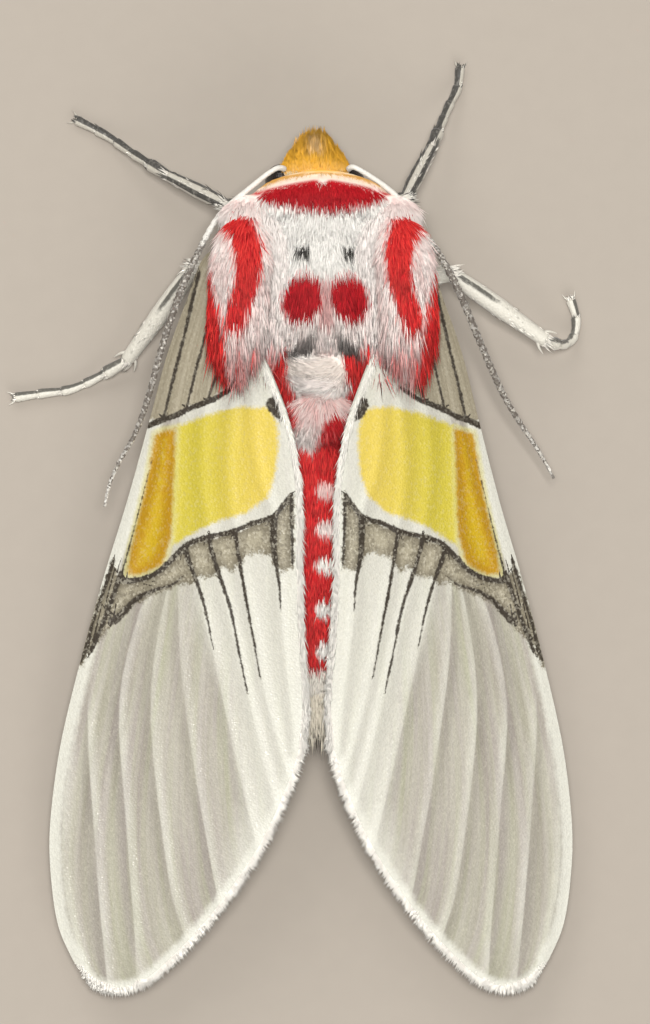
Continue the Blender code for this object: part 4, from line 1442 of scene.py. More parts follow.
        plans = {
            "head_hair": (Slot.HEAD, 11, marks.body, [Region(
                self.head, 9600,
                lambda p: soft_step(-9.35, -9.6, p[:, 1]) * (0.4 + 0.6 * soft_step(2.4, 3.0, p[:, 2])),
                self.to_apex, self.head_length, 0.03, 0.1,
            )]),
            "collar_hair": (Slot.RED, 12, marks.body, [Region(
                self.collar, 10600,
                lambda p: soft_step(3.1, 3.8, p[:, 2] + 0.35 * np.abs(p[:, 0])), backwards,
                lambda p: 0.27 + 0.16 * soft_step(-9.0, -8.8, p[:, 1]), 0.028, 0.12, read=0.15,
            ), Region(
                self.ruff, 4500, lambda p: soft_step(3.6, 3.9, p[:, 2] + 0.2 * np.abs(p[:, 0]))
                * soft_step(0.3, 0.15, p[:, 1] + 9.4 - 0.17 * p[:, 0] ** 2),
                backwards, even(0.15), 0.024, 0.1,
            )]),
            "disc_hair": (Slot.WHITE, 13, marks.body, [Region(
                self.thorax, 15100,
                lambda p: upper(p) * soft_step(-8.8, -8.5, p[:, 1]) * soft_step(-4.6, -4.9, p[:, 1]),
                self.over_disc, lambda p: 0.62 - 0.3 * soft_step(-5.5, -5.0, p[:, 1]), 0.03, 0.06,
            ), Region(
                self.nape, 2400, lambda p: soft_step(4.2, 4.4, p[:, 2]) * soft_step(-8.8, -8.6, p[:, 1]),
                backwards, even(0.45), 0.03, 0.06, read=0.15,
            )]),
            "lobe_hair": (Slot.WHITE, 33, marks.body, [
                Region(lobe, 2300, above(3.75, 3.95), self.across_rump, even(0.42), 0.022, 0.05)
                for lobe in self.lobes[:2]
            ] + [Region(self.lobes[2], 3000, above(3.5, 3.8), self.fan, even(0.5), 0.026, 0.1)]),
            "rump_hair": (Slot.RED, 32, marks.body, [Region(
                self.thorax, 5000,
                lambda p: soft_step(2.6, 3.2, p[:, 2]) * soft_step(-4.9, -4.6, p[:, 1])
                * beside(0.4, 0.6, p),
                backwards, even(0.5), 0.032, 0.12,
            )]),
            "saddle_hair": (Slot.WHITE, 31, marks.saddle, [Region(
                form, 4800, lambda p: soft_step(3.8, 4.2, p[:, 2]) * beside(0.75, 1.1, p), self.outwards,
                lambda p: 0.6 + 0.4 * soft_step(-6.6, -5.2, p[:, 1]), 0.04, 0.05,
            ) for form in self.saddles.values()] + [
                Region(form, 2700, above(2.9, 3.6), self.outwards, even(0.4), 0.032, 0.05, read=0.3)
                for form in self.shoulders.values()
            ]),
            "flank_hair": (Slot.WHITE, 14, marks.body, [Region(
                self.thorax, 4600, lambda p: (1 - upper(p)) * soft_step(-8.8, -8.3, p[:, 1]),
                backwards, even(0.55), 0.06, 0.3,
            ), Region(
                self.head, 900, lambda p: soft_step(-9.75, -9.45, p[:, 1]), backwards,
                even(0.22), 0.04, 0.25,
            ), Region(self.neck, 1400, above(3.9, 3.6), backwards, even(0.3), 0.045, 0.15)]),
            "abdomen_hair": (Slot.RED, 15, marks.body, [Region(
                self.abdomen, 12200, back, backwards, self.abdomen_length, 0.032, 0.12,
            )]),
            "belly_hair": (Slot.RED, 16, marks.body, [Region(
                self.abdomen, 3700, lambda p: 1 - back(p), backwards, self.abdomen_length,
                0.06, 0.16,
            )]),
        }
        for side in Side:
            plans[f"tegula_hair_{side.word}"] = (Slot.RED, 17 + side.value, marks.shoulder, [Region(
                self.tegulae[side], 12000, lambda p: 0.1 + 0.9 * soft_step(3.5, 4.2, p[:, 2]),
                self.over_wing, lambda p: 0.62 + 0.42 * soft_step(-7.0, -5.4, p[:, 1]), 0.034, 0.06,
            )])
        for name, (slot, seed, marks_at, regions) in plans.items():
            pelts = [region.pelt(seed * 10 + k, marks_at) for k, region in enumerate(regions)]
            obj = merge_pelts(pelts, seed).build(name)
            self.shop.hand_over(obj, slot, [hair], [])

    def to_apex(self, roots: Array, normals: Array) -> Array:
        """Hair of the head, which gathers to a blunt tuft in front of the face."""
        aim = np.array(self.head_apex) + roots * np.array((0.7, 0.0, 0.5))
        return unit(aim - roots)

    @staticmethod
    def head_length(roots: Array) -> Array:
        """Hair length on the head: longest on top, short round the mouth."""
        long = soft_step(-9.4, -9.9, roots[:, 1]) * soft_step(0.8, 0.2, np.abs(roots[:, 0]))
        return (0.22 + 0.2 * long) * (0.6 + 0.4 * soft_step(2.3, 3.0, roots[:, 2]))

    @staticmethod
    def outwards(roots: Array, normals: Array) -> Array:
        """Hair that lies back and a little outwards."""
        lies = np.tile(BACKWARDS, (len(roots), 1))
        lies[:, 0] += 0.06 * np.sign(roots[:, 0])
        return follow(lies, normals)

    @staticmethod
    def over_disc(roots: Array, normals: Array) -> Array:
        """Hair of the disc, which fans a little towards the flanks."""
        lies = np.tile(BACKWARDS, (len(roots), 1))
        lies[:, 0] += 0.14 * roots[:, 0]
        return follow(lies, normals)

    def across_rump(self, roots: Array, normals: Array) -> Array:
        """Hair behind the disc, which runs across the body and curves up at both ends."""
        bend = -1.3 * (roots[:, 0] - self.markings.lean)
        return np.column_stack([np.ones(len(roots)), bend, np.zeros(len(roots))])

    def fan(self, roots: Array, normals: Array) -> Array:
        """Fluff at the abdomen's base, which fans out from the midline."""
        spread = 0.9 * (roots[:, 0] - self.markings.lean)
        return np.column_stack([spread, np.ones(len(roots)), np.zeros(len(roots))])

    @staticmethod
    def over_wing(roots: Array, normals: Array) -> Array:
        """Hair of the shoulder plates, which trails back over the wings."""
        lies = np.tile(BACKWARDS, (len(roots), 1))
        lies[:, 0] += 0.1 * np.sign(roots[:, 0]) * (np.abs(roots[:, 0]) - 2.2)
        return lies

    @staticmethod
    def abdomen_length(roots: Array) -> Array:
        """Hair length along the abdomen: fluffy at its base, short, then a tail tuft."""
        y = roots[:, 1]
        fluff, tail = 0.35 * soft_step(-2.4, -3.4, y), 0.5 * soft_step(4.4, 4.9, y)
        return 0.42 + fluff - 0.14 * soft_step(3.6, 3.9, y) + tail


# The wings


@dataclass
class Roof:
    """Heights of the forewings' upper side: a ridge beside the midline and eaves outside."""

    ridge_place: float = 0.4
    ridge: tuple = ((-8.0, 5.0), (-3.5, 5.02), (-0.5, 4.8), (3.0, 4.3), (6.0, 3.85), (12.6, 3.1))
    eaves: tuple = (
        (-8.0, 2.9, 3.55), (-6.1, 3.5, 3.25), (-4.7, 4.0, 3.0), (-3.0, 4.45, 2.7),
        (-0.8, 5.05, 2.25), (1.5, 5.75, 1.9), (3.9, 6.4, 1.6), (6.1, 6.9, 1.35), (8.2, 7.15, 1.15),
        (12.6, 7.3, 0.9),
    )
    bend: float = 1.15

    def height(self, x: Array, y: Array) -> Array:
        """The height over places seen from above."""
        ridge = Table(self.ridge).at(y)[0]
        eaves_place, eaves = Table(self.eaves).at(y)
        share = np.maximum(np.abs(x) - self.ridge_place, 0) / (eaves_place - self.ridge_place)
        return ridge - (ridge - eaves) * share**self.bend


@dataclass
class WingSheet:
    """A wing between its edges, drawn for the left side and turned over for the right."""

    leading: tuple
    outer: tuple
    inner: tuple
    folds: tuple
    roof: Roof
    drop: float = 0.0
    fold_rise: float = 0.06
    fold_width: float = 0.2
    thickness: float = 0.09
    crease: float = math.radians(60)

    def __post_init__(self) -> None:
        """Prepares the lines of the edges."""
        self.lines = [Line(edge) for edge in (self.leading, self.outer, self.inner)]
        self.root = Line((self.leading[0], self.inner[0]))
        self.fold_lines = [smooth_corners(fold) for fold in self.folds]

    def flat(self, down: Array, across: Array) -> Array:
        """Places of the left wing from above, by shares down and across it."""
        leading, outer, inner = self.lines
        d, a = down[..., None], across[..., None]
        ruled = leading.at(down) * (1 - a) + inner.at(down) * a
        ends = self.root.at(across) * (1 - d) + outer.at(across) * d
        near = self.root.at(np.array(0.0)) * (1 - a) + self.root.at(np.array(1.0)) * a
        far = outer.at(np.array(0.0)) * (1 - a) + outer.at(np.array(1.0)) * a
        return ruled + ends - near * (1 - d) - far * d

    def beside_folds(self, places: Array) -> tuple[Array, Array, Array]:
        """How places lie beside the veins and folds.

        Args:
            places: points of the left wing.

        Returns:
            How far each is from the nearest fold, the same below 0 on the fold's outer side, and
            how much farther away the next fold is.
        """
        near, following = np.full((2, len(places)), FAR_AWAY)
        signed = np.zeros(len(places))
        for fold in self.fold_lines:
            gap, _, side = to_line(places, fold)
            signed = np.where(gap < near, gap * side, signed)
            following = np.minimum(following, np.maximum(gap, near))
            near = np.minimum(gap, near)
        return near, signed, following - near

    def raised(self, places: Array) -> Array:
        """The places, lifted onto the roof and along each vein."""
        rise = np.zeros(len(places))
        for fold in self.fold_lines:
            gap, share, _ = to_line(places, fold)
            rise = np.maximum(rise, np.exp(-(gap / self.fold_width) ** 2) * np.minimum(1, 4 * share))
        height = self.roof.height(places[:, 0], places[:, 1]) + self.fold_rise * (rise - 0.4)
        return np.column_stack([places[:, 0], places[:, 1], height - self.drop])

    def sheet(self, name: str, side: Side, rows: int, columns: int) -> tuple[bpy.types.Object, Array]:
        """The wing as a thin closed sheet.

        Args:
            name: the piece's name.
            side: which wing it is.
            rows, columns: faces down and across it.

        Returns:
            The piece, and its vertices' places on the left wing, upper side first.
        """
        def shape(down: Array, across: Array) -> Array:
            """Places on the wing's upper side."""
            return self.raised(self.flat(down, across)) * np.array((side.value, 1, 1))

        obj = wrapped_grid(name, rows, columns, shape)
        mesh = obj.data
        if mesh.polygons[len(mesh.polygons) // 2].normal.z < 0:
            mesh.flip_normals()
        apply_modifier(obj, "SOLIDIFY", thickness=self.thickness, offset=-1)
        bpy.ops.object.shade_smooth_by_angle(angle=self.crease)
        return obj, places_of(obj.data) * np.array((side.value, 1, 1))


FOREWING = WingSheet(
    leading=(
        (1.9, -7.7), (2.95, -7.4), (3.5, -6.1), (4.0, -4.7), (4.45, -3.0), (5.05, -0.8),
        (5.75, 1.5), (6.4, 3.9), (6.9, 6.1), (7.15, 8.2), (7.1, 9.7), (6.9, 10.9), (6.5, 11.8),
    ),
    outer=(
        (6.5, 11.8), (6.0, 12.3), (5.4, 12.5), (4.75, 12.35), (4.1, 11.85), (3.1, 10.8),
        (2.2, 9.6), (1.4, 8.3), (0.75, 6.8), (0.38, 5.6),
    ),
    inner=(
        (1.75, -5.3), (1.2, -4.0), (0.75, -2.7), (0.52, -1.2), (0.5, 0.8), (0.42, 2.8),
        (0.3, 4.4), (0.38, 5.6),
    ),
    folds=(
        ((2.7, -7.3), (3.3, -6.0), (3.8, -4.6), (4.25, -2.9), (4.85, -0.7), (5.5, 1.6), (6.15, 4.0),
         (6.6, 6.2), (6.8, 8.2), (6.75, 9.7), (6.5, 11.0), (6.2, 12.0)),
        ((2.6, -6.9), (3.3, -5.0), (3.85, -3.1), (4.25, -1.2), (4.95, 0.9), (5.6, 2.4), (6.05, 3.6),
         (6.12, 5.5), (5.98, 7.8), (5.8, 10.2), (5.6, 12.2)),
        ((2.5, -6.4), (3.2, -4.4), (3.75, -2.6), (3.9, 0.2), (4.73, 2.24), (5.27, 4.7), (5.1, 7.8),
         (4.86, 10.9), (4.8, 12.1)),
        ((3.6, 0.4), (4.16, 2.38), (4.43, 5.2), (3.95, 9.4), (3.6, 10.75), (3.45, 11.1)),
        ((3.7, 1.0), (3.65, 3.4), (3.3, 6.2), (2.85, 8.8), (2.6, 10.1)),
        ((3.5, 0.5), (2.76, 3.45), (2.2, 6.0), (1.6, 8.5)),
        ((2.89, 0.2), (1.93, 4.1), (1.45, 6.1), (1.1, 7.5)),
        ((2.2, 0.1), (1.45, 4.1), (1.0, 5.9), (0.75, 6.7)),
        ((1.7, -5.0), (1.75, -3.2), (1.6, -1.5), (1.18, -0.3), (1.0, 2.17), (0.75, 4.4), (0.6, 5.9)),
        ((2.1, -5.2), (2.3, -3.2), (2.4, -1.4), (2.2, 0.1)),
        ((2.5, -5.0), (3.0, -3.2), (3.1, -1.4), (2.89, 0.2)),
    ),
    roof=Roof(),
)

HINDWING = WingSheet(
    leading=((1.9, -5.6), (3.0, -4.2), (3.9, -2.0), (4.7, 0.5), (5.1, 2.8), (5.0, 4.6)),
    outer=((5.0, 4.6), (4.5, 5.9), (3.7, 6.8), (2.9, 7.0), (2.3, 6.3)),
    inner=((1.5, -4.4), (2.0, -3.2), (2.2, -1.0), (2.15, 1.5), (2.1, 4.0), (2.3, 6.3)),
    folds=(
        ((1.9, -5.2), (3.2, -2.6), (4.3, 0.8), (4.8, 4.4)),
        ((1.9, -5.0), (3.0, -1.5), (3.9, 2.4), (4.2, 6.0)),
        ((1.85, -4.8), (2.7, -0.5), (3.2, 3.5), (3.3, 6.8)),
        ((1.8, -4.6), (2.4, 0.0), (2.6, 3.5), (2.65, 6.7)),
    ),
    roof=Roof(), drop=1.2, thickness=0.07,
)


@dataclass(frozen=True)
class WingPattern:
    """The forewing's marks in millimetres on the left wing, seen from above."""

    lemon: tuple = (
        (1.25, -3.25), (1.08, -2.7), (1.06, -2.1), (1.14, -1.5), (1.34, -0.85), (1.9, -0.42),
        (2.6, -0.22), (3.2, 0.05), (3.85, 0.45), (3.95, -0.5), (3.9, -1.2), (3.84, -2.0),
        (3.72, -2.8), (2.75, -3.14), (2.0, -3.3),
    )
    gold: tuple = (
        (3.74, -2.75), (3.8, -1.2), (3.86, 0.2), (4.12, 1.0), (4.7, 1.26), (5.1, 1.24),
        (4.98, 0.5), (4.76, -0.4), (4.52, -1.5), (4.32, -2.6),
    )
    base: tuple = (
        (5.2, -3.1), (4.25, -2.9), (3.81, -3.05), (3.35, -3.27), (2.78, -3.5), (2.3, -3.9),
        (1.5, -5.4), (1.5, -8.5), (4.4, -8.5),
    )
    band: tuple = (
        (0.66, -0.98), (0.8, -0.86), (1.0, -0.55), (1.25, -0.3), (1.68, -0.18), (2.27, 0.07),
        (2.85, 0.2), (3.44, 0.4), (3.9, 0.85), (4.35, 1.23), (4.9, 1.4), (5.2, 1.42), (5.45, 0.9),
        (6.6, 3.6), (6.3, 3.8), (5.98, 3.2), (5.45, 2.62), (5.05, 2.2), (4.7, 1.95), (4.2, 1.72),
        (3.7, 1.5), (3.3, 1.45), (3.05, 1.3), (2.75, 1.28), (2.5, 1.0), (2.3, 1.15), (2.05, 0.95),
        (1.9, 0.7), (1.6, 0.62), (1.25, 0.72), (1.12, 1.05), (0.95, 1.14), (0.66, 1.05),
    )
    drop: tuple = (
        (0.98, -2.91), (1.04, -3.18), (1.07, -3.42), (1.19, -3.54), (1.31, -3.48), (1.37, -3.33),
        (1.32, -3.18), (1.16, -3.0),
    )
    # Dark lines: their corners, then half their width at the start and at the end.
    darks: tuple = (
        (((0.72, -0.92), (0.82, -0.8), (1.0, -0.55), (1.25, -0.3), (1.68, -0.18), (2.27, 0.07),
          (2.85, 0.2), (3.44, 0.4), (3.9, 0.85), (4.35, 1.23), (4.9, 1.4), (5.2, 1.4)), 0.06, 0.07),
        (((3.6, 1.3), (3.86, 1.5), (4.32, 1.65), (4.79, 1.88), (5.18, 2.27), (5.41, 2.5)), 0.01, 0.1),
        (((5.42, 0.84), (5.7, 1.69), (5.98, 2.54), (6.27, 3.55)), 0.05, 0.03),
        (((5.22, 1.2), (5.48, 1.92), (5.74, 2.62), (6.05, 3.35)), 0.07, 0.05),
        (((3.5, 0.5), (3.43, 0.84), (3.16, 1.54), (2.93, 2.39), (2.78, 3.15)), 0.065, 0.012),
        (((2.89, 0.2), (2.74, 0.84), (2.31, 2.16), (2.08, 3.32), (1.86, 4.35)), 0.06, 0.014),
        (((2.2, 0.05), (2.08, 0.84), (1.88, 2.0), (1.69, 3.01), (1.53, 3.95)), 0.055, 0.012),
        (((1.18, -0.3), (1.18, 0.5), (1.03, 1.46), (0.99, 2.12)), 0.1, 0.01),
        (((0.72, -0.8), (0.68, 0.9)), 0.05, 0.02),
        (((4.5, -2.8), (4.25, -2.9), (3.81, -3.05), (3.35, -3.27), (2.78, -3.48), (2.3, -3.78)),
         0.08, 0.06),
        (((3.15, -6.9), (3.55, -5.2), (3.95, -3.6), (4.1, -2.95)), 0.045, 0.035),
        (((2.75, -6.0), (3.15, -4.6), (3.5, -3.2)), 0.035, 0.03),
        (((2.4, -5.0), (2.95, -3.4)), 0.03, 0.03),
        (((3.1, -7.4), (3.7, -6.0), (4.2, -4.6), (4.6, -3.0)), 0.05, 0.02),
        (((4.41, -1.84), (4.8, -0.3), (5.15, 1.02)), -0.005, 0.02),
    )

    # The pale inner part of the wing ends at these places along y and x.
    pale_along: tuple = (0.5, 2.4, 4.6, 7.3, 11)
    pale_across: tuple = (3.6, 3.2, 2.3, 1.9, 2.6)

    def numbers(self, places: Array, leading: Line, rim: Line, fold: tuple) -> dict[str, Array]:
        """How deep places lie in each mark.

        Args:
            places: points of the left wing.
            leading: its leading edge.
            rim: its outer and inner margins, as one line.
            fold: how the places lie beside the folds.

        Returns:
            By mark, the depth in millimetres, negative outside it. A dark line is given by the
            place across it and its half width, which stay exact between the vertices.
        """
        dark = np.full(len(places), -9.0)
        streak, breadth = dark.copy(), dark.copy()
        for corners, start, end in self.darks:
            gap, share, side = to_line(places, smooth_corners(corners))
            half = start + (end - start) * share
            closer = half - gap > dark
            dark = np.where(closer, half - gap, dark)
            streak, breadth = np.where(closer, gap * side, streak), np.where(closer, half, breadth)
        x, y = places[:, 0], places[:, 1]
        marks = {
            name: depth_inside(places, getattr(self, name))
            for name in ("lemon", "gold", "base", "band", "drop")
        }
        return marks | {
            "dark": dark, "streak": streak, "breadth": breadth,
            "costa": to_line(places, leading.points[:, :2])[0],
            "margin": to_line(places, rim.points[::4, :2])[0],
            "near": fold[0], "fold": fold[1], "lone": fold[2],
            "far": soft_step(-0.8, 0.8, x - np.interp(y, self.pale_along, self.pale_across)),
            "warm": soft_step(3.3, 1.4, x),
        }


@dataclass
class Wings:
    """The four wings with their fringes."""

    shop: Workshop
    grid: tuple = (240, 100)
    quick_grid: tuple = (220, 80)
    hind_grid: tuple = (120, 50)
    fringe: int = 6500
    middle: tuple = (3.2, 3.5, 0.0)

    def forewing(self, side: Side) -> None:
        """Models a forewing and paints its pattern."""
        wing = FOREWING
        rows, columns = self.grid
        obj, places = wing.sheet(f"forewing_sheet_{side.word}", side, rows, columns)
        leading, outer, inner = wing.lines
        rim = Line(np.concatenate([inner.points[::8], outer.points[::-8]])[:, :2])
        set_numbers(obj.data, WingPattern().numbers(places, leading, rim, wing.beside_folds(places)))
        below = np.zeros(len(obj.data.polygons), np.int32)
        below[rows * columns:] = 1
        obj.data.polygons.foreach_set("material_index", below)
        finishes = [WingScales("forewing_scales"), PlainScales("underside_scales")]
        self.shop.hand_over(obj, Slot.FOREWING, finishes, [f"forewing_{side.word}"])
        self.edge_hair(f"forewing_fringe_{side.word}", side, wing, Slot.FOREWING, self.fringe)

    def hindwing(self, side: Side) -> None:
        """Models a hindwing, most of it hidden under the forewing."""
        wing = HINDWING
        obj, places = wing.sheet(f"hindwing_sheet_{side.word}", side, *self.hind_grid)
        set_numbers(obj.data, {"near": wing.beside_folds(places)[0]})
        self.shop.hand_over(
            obj, Slot.HINDWING, [PlainScales("hindwing_scales")], [f"hindwing_{side.word}"],
        )
        self.edge_hair(f"hindwing_fringe_{side.word}", side, wing, Slot.HINDWING, self.fringe // 3)

    def edge_hair(self, name: str, side: Side, wing: WingSheet, slot: Slot, count: int) -> None:
        """Fine white hair along the outer and inner margins.

        Args:
            name: the piece's name.
            side: which wing it is.
            wing: the wing's shape.
            slot: the record's finish.
            count: how many tufts there are.
        """
        draw = np.random.default_rng(40 + side.value + len(name))
        _, outer, inner = wing.lines
        on_outer, share = draw.random(count) < 0.45, draw.random(count)
        pick = on_outer[:, None]
        flat = np.where(pick, outer.at(share), inner.at(share))
        along = np.where(pick, outer.along(share), inner.along(share))
        outwards = np.stack([-along[:, 1], along[:, 0], np.zeros(count)], -1)
        outwards = outwards * np.sign(np.sum(outwards * (flat - self.middle), -1, keepdims=True))
        lies = np.where(pick, outwards + BACKWARDS * 0.4, outwards * 0.22 + BACKWARDS)
        lies = unit(lies + draw.normal(0, 0.07, (count, 3)) * np.array((1, 1, 0)))
        flat = flat - outwards * draw.uniform(0.0, np.where(pick, 0.16, 0.1), (count, 1))
        lengths = np.where(on_outer, 0.27 * soft_step(-0.02, 0.1, share), 0.5)
        lengths = lengths * draw.uniform(0.6, 1.25, count)
        roots = wing.raised(flat)
        tips = wing.raised(flat + lies * lengths[:, None]) + UP * draw.uniform(-0.05, 0.03, (count, 1))
        lies, roots = unit(tips - roots), roots + UP * 0.02
        mirror = np.array((side.value, 1, 1))
        pelt = Pelt(
            roots * mirror, np.tile(UP, (count, 1)), lies * mirror, lengths,
            np.where(on_outer, 0.034, 0.02) * draw.uniform(0.7, 1.3, count),
            draw.uniform(0, 0.06, count),
            np.column_stack([np.where(on_outer, 0.25, 0.75) + draw.uniform(-0.2, 0.2, count), share]),
            plain_marks(
                count, black=0.07 * on_outer, cream=0.12, deep=0.0, shade=draw.random(count),
            ), 5,
        )
        self.shop.hand_over(pelt.build(name), slot, [HairScales("hair_scales")], [])


# Eyes, feelers and palps


@dataclass
class Face:
    """Eyes, palps and feelers."""

    shop: Workshop
    eye_place: tuple = (0.88, -9.42, 2.78)
    eye_radii: tuple = (0.47, 0.46, 0.6)
    palp_line: tuple = ((0.36, -9.7, 2.0), (0.36, -10.15, 1.9), (0.32, -10.5, 2.05))
    antenna_radii: tuple = (
        (0.0, 0.085), (0.03, 0.068), (0.25, 0.074), (0.4, 0.098), (0.7, 0.085), (1.0, 0.038),
    )
    teeth: int = 46
    antenna_lines: dict = field(default_factory=lambda: {
        Side.LEFT: (
            (0.85, -9.68, 3.8), (1.14, -9.66, 4.0), (1.85, -9.12, 3.9), (2.6, -8.45, 3.75),
            (3.15, -7.5, 3.85), (3.65, -6.4, 3.85), (4.15, -4.9, 3.75), (4.5, -3.6, 3.45),
            (4.85, -2.6, 3.15), (5.3, -1.78, 2.95), (5.55, -1.2, 2.85), (5.68, -0.6, 2.75),
        ),
        Side.RIGHT: (
            (-0.85, -9.68, 3.8), (-1.1, -9.68, 4.0), (-2.1, -9.0, 3.9), (-2.8, -8.1, 3.8),
            (-3.3, -7.4, 3.85), (-3.85, -6.4, 3.7), (-4.38, -5.22, 3.3), (-5.19, -3.54, 2.65),
            (-6.17, -2.1, 1.95), (-6.6, -1.38, 1.65),
        ),
    })

    def eye(self, side: Side) -> None:
        """A ball of lenses, sunk in the head."""
        x, y, z = self.eye_place
        obj = Form(ball_shape((x * side.value, y, z), self.eye_radii)).grid(
            f"eye_ball_{side.word}", 40, 56,
        )
        self.shop.hand_over(obj, Slot.EYE, [CompoundEye()], [f"eye_{side.word}"])

    def palp(self, side: Side) -> None:
        """A short feeler under the face, with hair that points forwards."""
        line = Line(tuple((x * side.value, y, z) for x, y, z in self.palp_line))
        form = Form(rod_shape(line, lambda s: np.interp(s, (0, 0.6, 1), (0.17, 0.19, 0.08)), cap=0.15))
        obj = form.grid(f"palp_core_{side.word}", 30, 20)
        set_numbers(obj.data, plain_marks(
            len(obj.data.vertices), orange=0.8, cream=0.5, deep=0.0, shade=0.4, along=0.2,
        ))
        set_directions(obj.data, "facing", rows_of(obj.data, "normal"))
        cuticle = HairScales("scaled_cuticle", roughness=0.8)
        self.shop.hand_over(obj, Slot.HEAD, [cuticle], [f"palp_{side.word}"])
        region = Region(form, 700, even(1.0), straight(-BACKWARDS), even(0.2), 0.035, 0.25)

        def tints(places: Array) -> dict[str, Array]:
            """Orange all over, darker at the tip."""
            dark = 0.6 * soft_step(-10.7, -10.95, places[:, 1])
            return plain_marks(len(places), black=dark, orange=0.85, cream=0.4)

        hair = region.pelt(60 + side.value, tints).build(f"palp_hair_{side.word}")
        self.shop.hand_over(hair, Slot.HEAD, [HairScales("hair_scales")], [])

    def antenna(self, side: Side) -> None:
        """A saw-edged feeler, white near the head and grey-brown after it."""
        line = Line(self.antenna_lines[side])

        def radius(share: Array) -> Array:
            """Thinner towards the tip, with a tooth on each joint after the shaft's base."""
            tooth = np.mod(share * self.teeth, 1.0)
            saw = 0.26 * soft_step(0.1, 0.3, share) * (soft_step(0.0, 0.75, tooth) - 0.5)
            body = np.interp(share, *np.array(self.antenna_radii).T)
            return body * (1 + saw)

        form = Form(rod_shape(line, radius, cap=0.012, flat=0.85))
        obj = form.grid(f"antenna_shaft_{side.word}", self.teeth * 8, 14)
        places = places_of(obj.data)
        gaps = np.linalg.norm(places[:, None, :] - line.at(np.linspace(0, 1, 200))[None], axis=-1)
        share = gaps.argmin(1) / 199
        stripe = soft_step(0.24, 0.34, share) * (0.78 - 0.3 * soft_step(0.75, 1.0, share))
        set_numbers(obj.data, {"stripe": stripe})
        finish = LimbScales("antenna_scales", "#5d554c", "#d6d2c9", grain=0.05, ragged=0.5, glints=0.5)
        self.shop.hand_over(obj, Slot.ANTENNA, [finish], [f"antenna_{side.word}"])


# Legs


